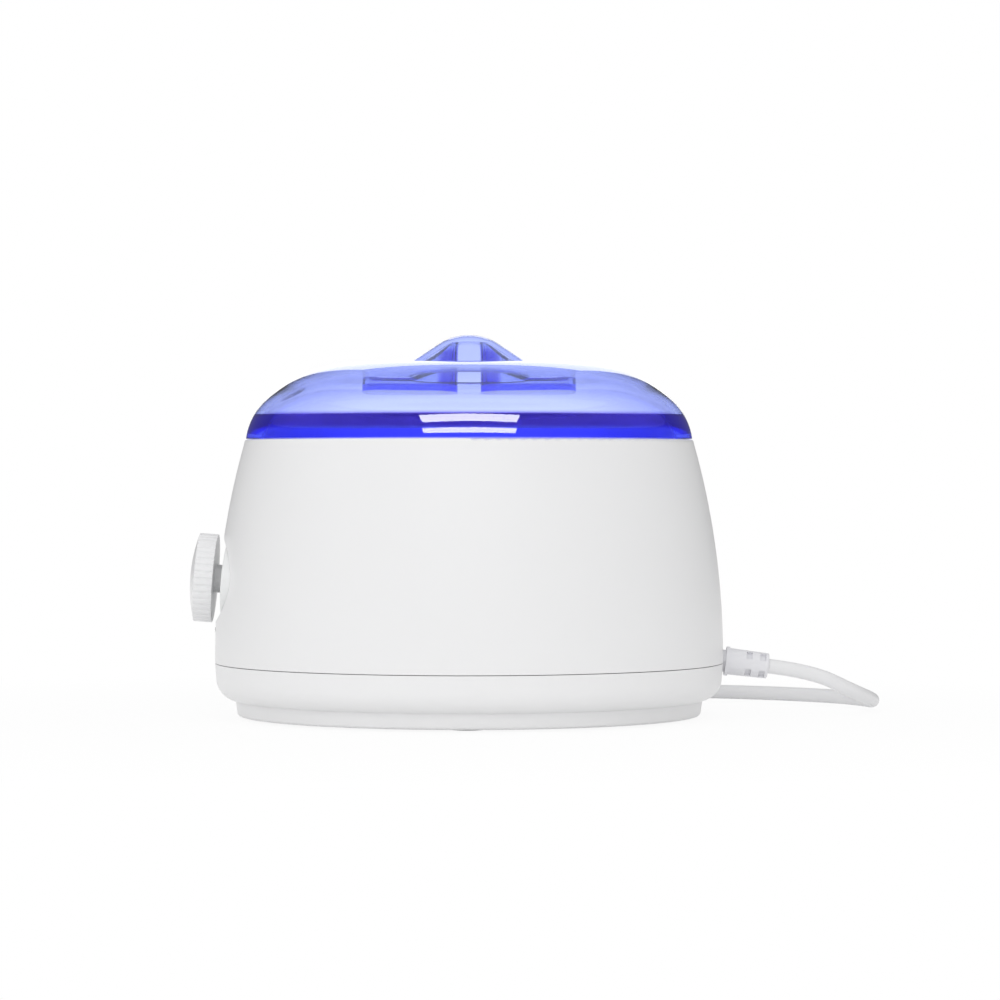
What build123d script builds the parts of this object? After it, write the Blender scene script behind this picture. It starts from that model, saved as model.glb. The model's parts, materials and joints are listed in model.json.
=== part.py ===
from build123d import *
import os
from math import cos, pi, radians, sin, sqrt, tan

os.makedirs("parts", exist_ok=True)

# Wax warmer. Millimetres, +Z up, origin on the body's axis at the table.
# The control knob faces -X and the mains lead leaves at +X.

# Housing and tray
body_diameter = 181.0  # at the widest ring
widest_height = 22.0
side_arc_radius = 280.0  # the side is one long arc
seam_height = 19.5
shelf_height = 98.9  # ledge that the lid stands on
wall = 2.5
edge_round = 1.2
seam_gap = 0.25
floor_height = 6.2  # underside of the tray's floor
tray_corner_radius = 8.0
tray_draft = 0.4
foot_ring_width = 3.0
foot_ring_inset = 7.3  # from the widest ring
foot_ring_taper = 0.6
foot_ring_clearance = 0.8  # the rubber feet hold the ring off the table
tongue_width = 1.6
tongue_rise = 3.5

# Gaps between pieces
seat_gap = 0.3  # between pieces that rest on each other
slip_gap = 0.6  # round pieces that are lifted out
pot_gap = 0.8
mouth_gap = 1.0
screw_gap = 0.15
shaft_gap = 0.05

# Lid
lid_overhang = -0.25  # the lid's rim stands a little inside the shelf's edge
lid_height = 26.73  # from its rim to the flat top
lid_wall = 2.2
lid_band_thickness = 5.6  # from the rim to the straight wall inside it
grip_base = 21.4  # half width of the grip at its foot
grip_rise = 10.0
grip_crown = 9.5  # half width where its round top begins
grip_crown_drop = 2.4
grip_straight = 13.0  # half length of its straight middle
fin_thickness = 12.6
finger_well_reach = 36.0
finger_well_half_width = 9.5
finger_well_corner = 6.2
finger_well_depth = 5.5
vent_radius = 4.0
vent_reach = 64.3
vent_rise = 19.15
vent_tilt = 45.0

# Pot, its bail and the heated well
plateau_rise = 2.6  # raised ring on the shelf, inside the lid
well_wall = 1.5
well_flange_inset = 1.5  # from the pot's flange
well_flange_thickness = 1.2
well_bottom_height = 30.0
seal_thickness = 0.8
seal_width = 2.4
pot_wall = 1.5
pot_corner = 8.0
pot_lip = 7.2  # flange beyond the well's bore
pot_flange_thickness = 1.8
ear_width = 12.0
ear_thickness = 2.0
ear_drop = 2.0
ear_lap = 0.5  # of an ear under the flange's edge
ear_side_gap = 0.5
bail_wire_radius = 1.2
bail_bend = 3.0
bail_gap = 2.7  # to the lid's band
bail_pin_reach = 0.4  # past an ear's inner face

# Heater round the well
element_low = 38.0
element_height = 24.0
mica_thickness = 0.8
element_thickness = 0.8
strap_thickness = 0.8
strap_margin = 7.0  # strap narrower than the element, at each edge
strap_angle = 0.0  # where the strap's ears and the gaps lie
strap_gap_width = 9.0
strap_ear_length = 2.6
strap_screw_radius = 0.9
shield_gap = 1.0  # outside the strap's ears
shield_wall = 0.8
shield_low = 24.0
shield_top_gap = 4.4  # below the shelf's underside
shield_high = shelf_height - wall - shield_top_gap
shield_post_radius = 40.0
shield_screw_length = 7.0
screw_run_out = 1.0  # hole deeper than its screw
shield_angles = (30, 150, 270)

# Thermostat, knob and panel, along the control axis
control_height = 49.0
control_tilt = 4.5  # degrees above level
panel_sink = 2.8
panel_half_width = 32.0
panel_half_height = 15.5
panel_depth = 5.0
panel_skin = 2.2
panel_rim = 2.0
panel_ledge = 2.7
panel_screw_offset = 19.0
knob_radius = 15.75
knob_standoff = 4.25
knob_rim = 6.5
knob_dome = 2.3
knob_hub_radius = 5.0
knob_flutes = 40
flute_radius = 0.7
pointer_width = 1.4
shaft_radius = 3.0
shaft_end = 9.4
thermostat_width = 30.0
thermostat_height = 26.0
thermostat_depth = 12.0
tab_width = 4.8
tab_length = 9.0
tab_thickness = 0.8
tab_spots = (4.5, 11.5)  # sideways from the shaft
tab_setback = 2.0  # from the body's back face
bush_radius = 5.0
nut_across_flats = 14.0
nut_thickness = 2.6

# Indicator lamp below the panel
lamp_drop = 18.0  # below the control axis
lamp_height = control_height - lamp_drop
lens_radius = 1.2
lens_flange_radius = 1.5
lens_flange_thickness = 1.2
lamp_radius = 1.3
holder_wall = 0.5
holder_length = 11.0

# Probe and fuse on the well
probe_radius = 2.0
probe_angle = 215.0
probe_rise = 2.0  # above the element
probe_top_gap = 2.4  # below the shelf's underside
probe_low = element_low + element_height + probe_rise
probe_length = shelf_height - wall - probe_top_gap - probe_low
fuse_radius = 2.0
fuse_length = 11.0
fuse_angle = 320.0
fuse_rise = 6.0  # above the element
fuse_low = element_low + element_height + fuse_rise
clip_wall = 1.4
probe_clip_rise = 10.0  # from the probe's lower end
probe_clip_height = 9.0
fuse_clip_rise = 2.5
fuse_clip_height = 6.0
capillary_radius = 0.9

# Fasteners and feet
case_screw_inset = 15.5  # from the widest ring
case_screw_radius = 1.75
case_screw_head_radius = 3.2
case_screw_head_height = 2.2
case_screw_length = 24.0
drive_length = 3.6  # cross slot of a case screw
drive_width = 0.8
drive_depth = 1.2
boss_radius = 4.5
housing_post_height = 30.0
rib_thickness = 2.5
small_screw_radius = 1.25
small_head_radius = 2.4
small_head_height = 1.6
small_slot_width = 0.6
small_slot_depth = 0.7
foot_inset = 7.2  # inside the foot ring
foot_radius = 7.0
foot_chamfer = 0.5
foot_stud_radius = 2.5
vent_slot_length = 16.0
vent_slot_width = 3.0
vent_slot_circle = 24.0

# Mains entry
lead_radius = 2.6
gland_height = 20.0
gland_tilt = 7.0  # degrees below level
gland_flange_radius = 5.2
gland_flange_thickness = 1.2
gland_sleeve_radius = 4.75
gland_length = 16.3
gland_end_radius = 4.5
gland_neck_radius = 3.9
gland_collar_radius = 5.5
gland_collar_thickness = 2.0
gland_notch_length = 2.1
gland_notch_depth = 1.5
gland_notch_width = 3.4
terminal_length = 26.0
terminal_width = 12.0
terminal_height = 13.0
terminal_pitch = 8.4
terminal_pocket = 5.0  # depth of a screw's pocket
terminal_screw_height = 4.0
terminal_angle = -48.0
terminal_reach = 52.0
clamp_length = 22.0
clamp_width = 7.0
clamp_thickness = 2.4
clamp_screw_offset = 7.5
clamp_inset = 29.5  # from the widest ring
lead_exit_run = 16.0  # straight run outside the sleeve
wire_radius = 0.9
lamp_wire_offset = 1.0
lamp_wire_run = 24.0  # free ends of the lamp's wires on the floor

# Lead outside, its coil and the plug
coil_radius = 38.8  # outermost turn
climb_inset = 0.8  # the climbing half turn is a little tighter
coil_pitch = 5.8  # between turns and between layers
coil_half_turns_in = 6
coil_half_turns_out = 5
coil_centre = (20.0, 138.8)
coil_lift = 3.5
tie_width = 6.0
tie_thickness = 0.5
plug_tail_length = 16.0
plug_tail_radius = 3.6
plug_length = 33.0
plug_half_width = 12.5
plug_half_thickness = 6.85
plug_pin_radius = 2.0
plug_pin_length = 19.0
plug_pin_spacing = 18.6

body_radius = body_diameter / 2
arc_centre = body_radius - side_arc_radius
foot_ring_radius = body_radius - foot_ring_inset
case_screw_circle = body_radius - case_screw_inset
foot_circle = foot_ring_radius - foot_ring_width - foot_inset - foot_radius
clamp_reach = body_radius - clamp_inset
plateau_height = shelf_height + plateau_rise
lid_low = shelf_height + seat_gap
lid_top = lid_low + lid_height
grip_top = lid_top + grip_rise


def side_radius(height, inset=0.0):
    """Radius of the housing's side at a height, moved in by a wall."""
    return arc_centre + sqrt((side_arc_radius - inset) ** 2 - (height - widest_height) ** 2)


def around(radius, angle, height):
    """Point at a radius and an angle round the body's axis."""
    return (radius * cos(radians(angle)), radius * sin(radians(angle)), height)


def bend_radii(points, share=0.45):
    """Largest corner radii that the runs beside each corner allow."""
    spots = [Vector(*p) for p in points]
    radii = []
    for before, corner, after in zip(spots, spots[1:], spots[2:]):
        turn = (corner - before).get_angle(after - corner)
        shorter = min((corner - before).length, (after - corner).length)
        radii.append(share * shorter / tan(radians(turn / 2)))
    return radii


# Radii that follow from the housing's top, from the lid's rim inwards to the well
lid_rim_radius = side_radius(shelf_height) + lid_overhang
lid_band_inner = lid_rim_radius - lid_band_thickness
bail_radius = lid_band_inner - bail_gap - bail_wire_radius - bail_bend
pot_flange_radius = bail_radius - bail_bend - ear_side_gap - ear_thickness + ear_lap
well_flange = pot_flange_radius - well_flange_inset
well_inner_radius = pot_flange_radius - pot_lip
well_outer_radius = well_inner_radius + well_wall

# Upper housing: one shell with the shelf, the raised ring and the panel's ledge
housing_low = seam_height + seam_gap / 2
side_top = shelf_height - edge_round
ceiling = shelf_height - wall
step_radius = lid_band_inner - slip_gap
housing_mouth = well_outer_radius + mouth_gap
control_axis = Vector(-cos(radians(control_tilt)), 0, sin(radians(control_tilt)))
panel_reach = side_radius(control_height) - panel_sink
control_plane = Plane(origin=(-panel_reach, 0, control_height), x_dir=(0, -1, 0), z_dir=control_axis)
gland_axis = Vector(cos(radians(gland_tilt)), 0, -sin(radians(gland_tilt)))
gland_reach = side_radius(gland_height)
gland_plane = Plane(origin=(gland_reach, 0, gland_height), x_dir=(0, 1, 0), z_dir=gland_axis)
lamp_reach = side_radius(lamp_height)
lamp_plane = Plane(origin=(-lamp_reach, 0, lamp_height), x_dir=(0, -1, 0), z_dir=(-1, 0, 0))
ledge_face = -panel_depth - seat_gap
ledge_back = ledge_face - panel_ledge
neck_hole_radius = gland_neck_radius + 0.2
holder_bore = lens_flange_radius + 0.2
holder_outer = holder_bore + holder_wall

with BuildPart() as panel_boss:
    with BuildSketch(Plane.XZ):
        with BuildLine():
            Line((0, housing_low), (side_radius(housing_low), housing_low))
            ThreePointArc(
                (side_radius(housing_low), housing_low),
                (side_radius(control_height), control_height),
                (side_radius(side_top), side_top),
            )
            Polyline((side_radius(side_top), side_top), (0, side_top), (0, housing_low))
        make_face()
    revolve(axis=Axis.Z)
    with BuildSketch(control_plane.offset(ledge_back)):
        Ellipse(panel_half_width + wall, panel_half_height + wall)
    extrude(amount=2 * panel_depth - ledge_back, mode=Mode.INTERSECT)

with BuildPart() as upper_housing:
    with BuildSketch(Plane.XZ):
        with BuildLine():
            ThreePointArc(
                (side_radius(housing_low), housing_low),
                (side_radius(control_height), control_height),
                (side_radius(side_top), side_top),
            )
            CenterArc((side_radius(side_top) - edge_round, side_top), edge_round, 0, 90)
            Polyline(
                (side_radius(side_top) - edge_round, shelf_height),
                (step_radius, shelf_height),
                (step_radius, plateau_height),
                (housing_mouth, plateau_height),
                (housing_mouth, plateau_height - wall),
                (step_radius - wall, plateau_height - wall),
                (step_radius - wall, ceiling),
                (side_radius(ceiling, wall), ceiling),
            )
            ThreePointArc(
                (side_radius(ceiling, wall), ceiling),
                (side_radius(control_height, wall), control_height),
                (side_radius(housing_low, wall), housing_low),
            )
            Line(
                (side_radius(housing_low, wall), housing_low),
                (side_radius(housing_low), housing_low),
            )
        make_face()
    revolve(axis=Axis.Z)
    add(panel_boss.part)
    post_low = seam_height + tongue_rise + seat_gap + 0.5
    for angle in (45, 135, 225, 315):
        with BuildSketch(Plane.XY.offset(post_low)):
            with Locations(around(case_screw_circle, angle, 0)[:2]):
                Circle(boss_radius)
            rib_reach = side_radius(post_low + housing_post_height, wall / 2)
            rib_middle = (case_screw_circle + rib_reach) / 2
            with Locations(Location(around(rib_middle, angle, 0), (0, 0, 1), angle)):
                Rectangle(rib_reach - case_screw_circle, rib_thickness)
        extrude(amount=housing_post_height)
        with BuildSketch(Plane.XY.offset(post_low)):
            with Locations(around(case_screw_circle, angle, 0)[:2]):
                Circle(case_screw_radius + screw_gap)
        extrude(amount=case_screw_length, mode=Mode.SUBTRACT)
    # Seat of the panel, with the holes for the thermostat's bush and two screws
    with BuildSketch(control_plane.offset(ledge_face)):
        Ellipse(panel_half_width + screw_gap, panel_half_height + screw_gap)
    extrude(amount=2 * panel_depth, mode=Mode.SUBTRACT)
    with BuildSketch(control_plane.offset(ledge_back)):
        Circle(bush_radius + screw_gap)
        with Locations((-panel_screw_offset, 0), (panel_screw_offset, 0)):
            Circle(small_screw_radius + screw_gap)
    extrude(amount=panel_ledge, mode=Mode.SUBTRACT)
    with BuildSketch(lamp_plane.offset(-2 * wall)):
        Circle(lens_radius + screw_gap)
    extrude(amount=4 * wall, mode=Mode.SUBTRACT)
    with BuildSketch(lamp_plane.offset(-wall)):
        Circle(holder_outer + screw_gap)
    extrude(amount=-holder_length - wall, mode=Mode.SUBTRACT)
    with BuildSketch(gland_plane.offset(-3 * wall)):
        Circle(neck_hole_radius)
    extrude(amount=5 * wall, mode=Mode.SUBTRACT)
upper_housing.part.label = "upper_housing"
export_step(upper_housing.part, "parts/upper_housing.step")

# Base tray: floor, rounded corner, tongue inside the seam and the foot ring
tray_top = seam_height - seam_gap / 2
tray_side = body_radius - tray_draft
corner_centre = tray_side - tray_corner_radius
corner_height = floor_height + tray_corner_radius
floor_top = floor_height + wall
tongue_outer = side_radius(housing_low, wall) - seat_gap
tongue_inner = tongue_outer - tongue_width
inner_corner = corner_height - floor_top
tray_boss_top = seam_height + tongue_rise
shield_post_top = shield_low - seat_gap / 2
with BuildPart() as base_tray:
    with BuildSketch(Plane.XZ):
        with BuildLine():
            Line((0, floor_height), (corner_centre, floor_height))
            CenterArc((corner_centre, corner_height), tray_corner_radius, -90, 90)
            Polyline(
                (tray_side, corner_height),
                (side_radius(tray_top), tray_top),
                (tongue_outer, tray_top),
                (tongue_outer, tray_top + tongue_rise),
                (tongue_inner, tray_top + tongue_rise),
                (tongue_inner, corner_height),
            )
            CenterArc((tongue_inner - inner_corner, corner_height), inner_corner, 0, -90)
            Polyline((tongue_inner - inner_corner, floor_top), (0, floor_top), (0, floor_height))
        make_face()
    revolve(axis=Axis.Z)
    with BuildSketch(Plane.XZ):
        with BuildLine():
            Polyline(
                (foot_ring_radius - foot_ring_width, floor_height + 0.5),
                (foot_ring_radius - foot_ring_width, foot_ring_clearance),
                (foot_ring_radius - foot_ring_taper - edge_round, foot_ring_clearance),
            )
            CenterArc(
                (foot_ring_radius - foot_ring_taper - edge_round, foot_ring_clearance + edge_round),
                edge_round,
                -90,
                90,
            )
            Polyline(
                (foot_ring_radius - foot_ring_taper, foot_ring_clearance + edge_round),
                (foot_ring_radius, floor_height + 0.5),
                (foot_ring_radius - foot_ring_width, floor_height + 0.5),
            )
        make_face()
    revolve(axis=Axis.Z)
    with BuildSketch(Plane.XY.offset(floor_height + 1)):
        with PolarLocations(case_screw_circle, 4, start_angle=45):
            Circle(boss_radius)
    extrude(amount=tray_boss_top - floor_height - 1)
    with BuildSketch(Plane.XY.offset(floor_height + 1)):
        with Locations(*[around(shield_post_radius, a, 0)[:2] for a in shield_angles]):
            Circle(boss_radius)
    extrude(amount=shield_post_top - floor_height - 1)
    with BuildSketch(Plane.XY.offset(floor_height - 1)):
        with PolarLocations(case_screw_circle, 4, start_angle=45):
            Circle(case_screw_radius + screw_gap)
    extrude(amount=tray_boss_top, mode=Mode.SUBTRACT)
    with BuildSketch(Plane.XY.offset(floor_height - 1)):
        with PolarLocations(case_screw_circle, 4, start_angle=45):
            Circle(case_screw_head_radius + screw_gap)
    extrude(amount=case_screw_head_height + 1 + seat_gap, mode=Mode.SUBTRACT)
    with BuildSketch(Plane.XY.offset(shield_post_top - shield_screw_length - screw_run_out)):
        with Locations(*[around(shield_post_radius, a, 0)[:2] for a in shield_angles]):
            Circle(small_screw_radius + screw_gap)
    extrude(amount=2 * shield_screw_length, mode=Mode.SUBTRACT)
    # Holes for the studs of the feet, and vent slots
    with BuildSketch(Plane.XY.offset(floor_height - 1)):
        with PolarLocations(foot_circle, 4):
            Circle(foot_stud_radius + screw_gap)
        with PolarLocations(vent_slot_circle, 8, start_angle=22.5):
            SlotOverall(vent_slot_length, vent_slot_width)
    extrude(amount=wall + 2, mode=Mode.SUBTRACT)
    # Passage of the mains entry
    with BuildSketch(gland_plane.offset(-3 * wall)):
        Circle(neck_hole_radius)
    extrude(amount=5 * wall, mode=Mode.SUBTRACT)
    with BuildSketch(gland_plane.offset(-4 * wall)):
        Circle(gland_collar_radius + 0.5)
    extrude(amount=3 * wall - seat_gap, mode=Mode.SUBTRACT)
base_tray.part.label = "base_tray"
export_step(base_tray.part, "parts/base_tray.step")

with BuildPart() as rubber_feet:
    with BuildSketch():
        with PolarLocations(foot_circle, 4):
            Circle(foot_radius)
    extrude(amount=floor_height)
    with BuildSketch(Plane.XY.offset(floor_height)):
        with PolarLocations(foot_circle, 4):
            Circle(foot_stud_radius)
    extrude(amount=wall)
    chamfer(rubber_feet.faces().sort_by(Axis.Z)[:4].edges(), length=foot_chamfer)
rubber_feet.part.label = "rubber_feet"
export_step(rubber_feet.part, "parts/rubber_feet.step")

# Screws that hold the tray to the housing, from below
with BuildPart() as case_screws:
    with BuildSketch(Plane.XY.offset(floor_height)):
        with PolarLocations(case_screw_circle, 4, start_angle=45):
            Circle(case_screw_head_radius)
    extrude(amount=case_screw_head_height)
    with BuildSketch(Plane.XY.offset(floor_height)):
        with PolarLocations(case_screw_circle, 4, start_angle=45):
            Circle(case_screw_radius)
    extrude(amount=case_screw_length + case_screw_head_height)
    with BuildSketch(Plane.XY.offset(floor_height)):
        with PolarLocations(case_screw_circle, 4, start_angle=45):
            Rectangle(drive_length, drive_width)
            Rectangle(drive_width, drive_length)
    extrude(amount=drive_depth, mode=Mode.SUBTRACT)
case_screws.part.label = "case_screws"
export_step(case_screws.part, "parts/case_screws.step")

# Lid: a thin dome that thickens inside its rim, with a grip between two finger wells
lid_outline = [  # share of the rim radius, share of the lid's height
    (1.0, 0.0),
    (0.967, 0.300),
    (0.835, 0.700),
    (0.663, 0.943),
    (0.478, 1.0),
]


def lid_profile(inset):
    """Half section of the dome, moved in by a wall."""
    across = lid_rim_radius - inset
    rise = lid_height - inset
    points = [(across * u, lid_low + rise * v) for u, v in lid_outline]
    with BuildSketch() as section:
        with BuildLine():
            Spline(*points, tangents=[(-0.1, 1), (-1, 0)])
            Polyline(points[-1], (0, lid_low + rise), (0, lid_low), points[0])
        make_face()
    return section.sketch


def grip_profile(inset):
    """Half section of the grip, moved in by a wall."""
    slope = sqrt((grip_base - grip_crown) ** 2 + (grip_rise - grip_crown_drop) ** 2)
    shift = inset * (grip_rise - grip_crown_drop) / slope
    drop = inset * (grip_base - grip_crown) / slope
    foot = (grip_base - shift, lid_top - drop)
    crown = (grip_crown - shift, grip_top - grip_crown_drop - drop)
    low = lid_top - drop - lid_wall
    summit = grip_top - inset
    with BuildSketch() as section:
        with BuildLine():
            Polyline((0, summit), (0, low), (foot[0], low), foot, crown)
            ThreePointArc(crown, (crown[0] * 0.55, summit - (summit - crown[1]) * 0.28), (0, summit))
        make_face()
    return section.sketch


def grip_form(inset):
    """The grip's profile run along Y, with a half turn of it at each end."""
    with BuildPart() as grip:
        with BuildSketch(Plane.XZ.offset(-grip_straight)):
            add(grip_profile(inset))
            mirror(about=Plane.YZ)
        extrude(amount=2 * grip_straight)
        for end in (-grip_straight, grip_straight):
            with BuildSketch(Plane.XZ.offset(-end)):
                add(grip_profile(inset))
            revolve(axis=Axis((0, end, 0), (0, 0, 1)))
    return grip.part


well_floor = lid_top - finger_well_depth
well_middle = (fin_thickness / 2 + finger_well_reach) / 2
well_length = finger_well_reach - fin_thickness / 2
vent_plane = Plane(
    origin=(-vent_reach, 0, lid_low + vent_rise),
    z_dir=(-sin(radians(vent_tilt)), 0, cos(radians(vent_tilt))),
)

with BuildPart() as lid_hollow:
    with BuildSketch(Plane.XZ):
        add(lid_profile(lid_wall))
    revolve(axis=Axis.Z)
    with BuildSketch(Plane.XY.offset(lid_low - 1)):
        Circle(lid_band_inner)
    extrude(amount=lid_height + 1, mode=Mode.INTERSECT)
    add(grip_form(lid_wall))
    with BuildSketch(Plane.XY.offset(well_floor - lid_wall)):
        with Locations((-well_middle, 0), (well_middle, 0)):
            RectangleRounded(
                well_length + 2 * lid_wall,
                2 * (finger_well_half_width + lid_wall),
                finger_well_corner + lid_wall,
            )
    extrude(amount=lid_height, mode=Mode.SUBTRACT)

with BuildPart() as lid:
    with BuildSketch(Plane.XZ):
        add(lid_profile(0))
    revolve(axis=Axis.Z)
    add(grip_form(0))
    add(lid_hollow.part, mode=Mode.SUBTRACT)
    with BuildSketch(Plane.XY.offset(well_floor)):
        with Locations((-well_middle, 0), (well_middle, 0)):
            RectangleRounded(well_length, 2 * finger_well_half_width, finger_well_corner)
    extrude(amount=lid_height, mode=Mode.SUBTRACT)
    with BuildSketch(vent_plane.offset(-4 * lid_wall)):
        Circle(vent_radius)
    extrude(amount=8 * lid_wall, mode=Mode.SUBTRACT)
lid.part.label = "lid"
export_step(lid.part, "parts/lid.step")

# Heated well: a fixed cup that hangs by its flange on a silicone seal
well_flange_low = plateau_height + seal_thickness
well_flange_top = well_flange_low + well_flange_thickness
well_corner_centre = (well_outer_radius - pot_corner, well_bottom_height + pot_corner)
with BuildPart() as heater_well:
    with BuildSketch(Plane.XZ):
        with BuildLine():
            Polyline(
                (0, well_bottom_height),
                (well_outer_radius - pot_corner, well_bottom_height),
            )
            CenterArc(well_corner_centre, pot_corner, -90, 90)
            Polyline(
                (well_outer_radius, well_bottom_height + pot_corner),
                (well_outer_radius, well_flange_low),
                (well_flange, well_flange_low),
                (well_flange, well_flange_top),
                (well_inner_radius, well_flange_top),
                (well_inner_radius, well_bottom_height + pot_corner),
            )
            CenterArc(well_corner_centre, pot_corner - well_wall, 0, -90)
            Polyline(
                (well_outer_radius - pot_corner, well_bottom_height + well_wall),
                (0, well_bottom_height + well_wall),
                (0, well_bottom_height),
            )
        make_face()
    revolve(axis=Axis.Z)
heater_well.part.label = "heater_well"
export_step(heater_well.part, "parts/heater_well.step")

with BuildPart() as well_seal:
    with BuildSketch(Plane.XY.offset(plateau_height)):
        Circle(well_flange - seat_gap)
        Circle(well_flange - seat_gap - seal_width, mode=Mode.SUBTRACT)
    extrude(amount=seal_thickness)
well_seal.part.label = "well_seal"
export_step(well_seal.part, "parts/well_seal.step")

# Pot that lifts out, with two ears folded down from its flange for the bail
pot_radius = well_inner_radius - pot_gap
pot_inner_radius = pot_radius - pot_wall
pot_flange_low = well_flange_top + seat_gap
pot_top = pot_flange_low + pot_flange_thickness
pot_low = well_bottom_height + well_wall + slip_gap
ear_low = pot_flange_low - ear_drop
ear_middle = pot_flange_radius + ear_thickness / 2 - ear_lap
bail_pin_inner = ear_middle - ear_thickness / 2 - bail_pin_reach
bail_height = pot_flange_low - 0.4
with BuildPart() as inner_pot:
    with BuildSketch(Plane.XZ):
        with BuildLine():
            Line((0, pot_low), (pot_radius - pot_corner, pot_low))
            CenterArc((pot_radius - pot_corner, pot_low + pot_corner), pot_corner, -90, 90)
            Polyline(
                (pot_radius, pot_low + pot_corner),
                (pot_radius, pot_flange_low),
                (pot_flange_radius - pot_flange_thickness / 2, pot_flange_low),
            )
            CenterArc(
                (pot_flange_radius - pot_flange_thickness / 2, pot_flange_low + pot_flange_thickness / 2),
                pot_flange_thickness / 2,
                -90,
                180,
            )
            Polyline(
                (pot_flange_radius - pot_flange_thickness / 2, pot_top),
                (pot_inner_radius + pot_wall, pot_top),
            )
            CenterArc((pot_inner_radius + pot_wall, pot_top - pot_wall), pot_wall, 90, 90)
            Line((pot_inner_radius, pot_top - pot_wall), (pot_inner_radius, pot_low + pot_corner))
            CenterArc((pot_radius - pot_corner, pot_low + pot_corner), pot_corner - pot_wall, 0, -90)
            Polyline((pot_radius - pot_corner, pot_low + pot_wall), (0, pot_low + pot_wall), (0, pot_low))
        make_face()
    revolve(axis=Axis.Z)
    with BuildSketch(Plane.XY.offset(ear_low)):
        with Locations((-ear_middle, 0), (ear_middle, 0)):
            Rectangle(ear_thickness, ear_width)
    extrude(amount=ear_drop + pot_flange_thickness - 0.3)
    with BuildSketch(Plane.YZ.offset(-pot_flange_radius - ear_thickness)):
        with Locations((0, bail_height)):
            Circle(bail_wire_radius + 0.1)
    extrude(amount=2 * ear_thickness + ear_lap, mode=Mode.SUBTRACT)
    with BuildSketch(Plane.YZ.offset(pot_flange_radius + ear_thickness)):
        with Locations((0, bail_height)):
            Circle(bail_wire_radius + 0.1)
    extrude(amount=-2 * ear_thickness - ear_lap, mode=Mode.SUBTRACT)
inner_pot.part.label = "inner_pot"
export_step(inner_pot.part, "parts/inner_pot.step")

with BuildPart() as bail_handle:
    with BuildLine() as bail_route:
        pin_end = bail_radius - bail_bend
        Line((-bail_pin_inner, 0, bail_height), (-pin_end, 0, bail_height))
        TangentArc(
            (-pin_end, 0, bail_height),
            (-bail_radius, bail_bend, bail_height),
            tangent=(-1, 0, 0),
        )
        ThreePointArc(
            (-bail_radius, bail_bend, bail_height),
            (0, bail_bend + bail_radius, bail_height),
            (bail_radius, bail_bend, bail_height),
        )
        TangentArc((bail_radius, bail_bend, bail_height), (pin_end, 0, bail_height), tangent=(0, -1, 0))
        Line((pin_end, 0, bail_height), (bail_pin_inner, 0, bail_height))
    with BuildSketch(Plane(origin=(-bail_pin_inner, 0, bail_height), z_dir=(-1, 0, 0))):
        Circle(bail_wire_radius)
    sweep(path=bail_route.wire())
bail_handle.part.label = "bail_handle"
export_step(bail_handle.part, "parts/bail_handle.step")

# Band heater: mica, split band and clamping strap, one inside the other
mica_inner = well_outer_radius + 0.2
band_inner = mica_inner + mica_thickness + 0.1
strap_inner = band_inner + element_thickness + 0.1
strap_outer = strap_inner + strap_thickness
strap_ear_reach = strap_outer + strap_ear_length
shield_inner_radius = strap_ear_reach + shield_gap


def split_ring(inner, thickness, low, height, gap, angle):
    """Ring with a gap in it at an angle round the axis."""
    with BuildPart() as ring:
        with BuildSketch(Plane.XY.offset(low)):
            Circle(inner + thickness)
            Circle(inner, mode=Mode.SUBTRACT)
            with Locations(Location(around(inner, angle, 0), (0, 0, 1), angle)):
                Rectangle(8 * thickness, gap, mode=Mode.SUBTRACT)
        extrude(amount=height)
    return ring.part


with BuildPart() as mica_wrap:
    add(split_ring(mica_inner, mica_thickness, element_low, element_height, 1.0, strap_angle))
mica_wrap.part.label = "mica_wrap"
export_step(mica_wrap.part, "parts/mica_wrap.step")

with BuildPart() as heating_element:
    band_size = (element_thickness, element_low, element_height)
    add(split_ring(band_inner, *band_size, strap_gap_width, strap_angle))
heating_element.part.label = "heating_element"
export_step(heating_element.part, "parts/heating_element.step")

strap_low = element_low + strap_margin
strap_height = element_height - 2 * strap_margin
strap_middle = strap_low + strap_height / 2
strap_side = Plane(origin=(0, 0, 0), x_dir=around(1, strap_angle, 0), z_dir=(0, 0, 1))
with BuildPart() as band_strap:
    add(split_ring(strap_inner, strap_thickness, strap_low, strap_height, strap_gap_width, strap_angle))
    with BuildSketch(strap_side.offset(strap_low)):
        with Locations(
            ((strap_inner + strap_ear_reach) / 2, -strap_gap_width / 2 - strap_thickness / 2),
            ((strap_inner + strap_ear_reach) / 2, strap_gap_width / 2 + strap_thickness / 2),
        ):
            Rectangle(strap_ear_reach - strap_inner, strap_thickness)
    extrude(amount=strap_height)
    ear_screw_plane = Plane(
        origin=Vector(*around(strap_outer + strap_ear_length / 2 + 0.1, strap_angle, strap_middle)),
        z_dir=around(1, strap_angle + 90, 0),
    )
    with BuildSketch(ear_screw_plane.offset(-strap_gap_width)):
        Circle(strap_screw_radius + screw_gap)
    extrude(amount=2 * strap_gap_width, mode=Mode.SUBTRACT)
band_strap.part.label = "band_strap"
export_step(band_strap.part, "parts/band_strap.step")

strap_screw_reach = strap_gap_width / 2 + strap_thickness
with BuildPart() as strap_screw:
    with BuildSketch(ear_screw_plane.offset(-strap_screw_reach - 1.2)):
        Circle(strap_screw_radius)
    extrude(amount=2 * strap_screw_reach + 3.6)
    with BuildSketch(ear_screw_plane.offset(strap_screw_reach + 0.1)):
        Circle(strap_screw_radius + 0.3)
    extrude(amount=1.6)
    with BuildSketch(ear_screw_plane.offset(-strap_screw_reach - 0.1)):
        RegularPolygon(strap_screw_radius + 0.35, 6)
    extrude(amount=-1.4)
strap_screw.part.label = "strap_screw"
export_step(strap_screw.part, "parts/strap_screw.step")

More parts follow.
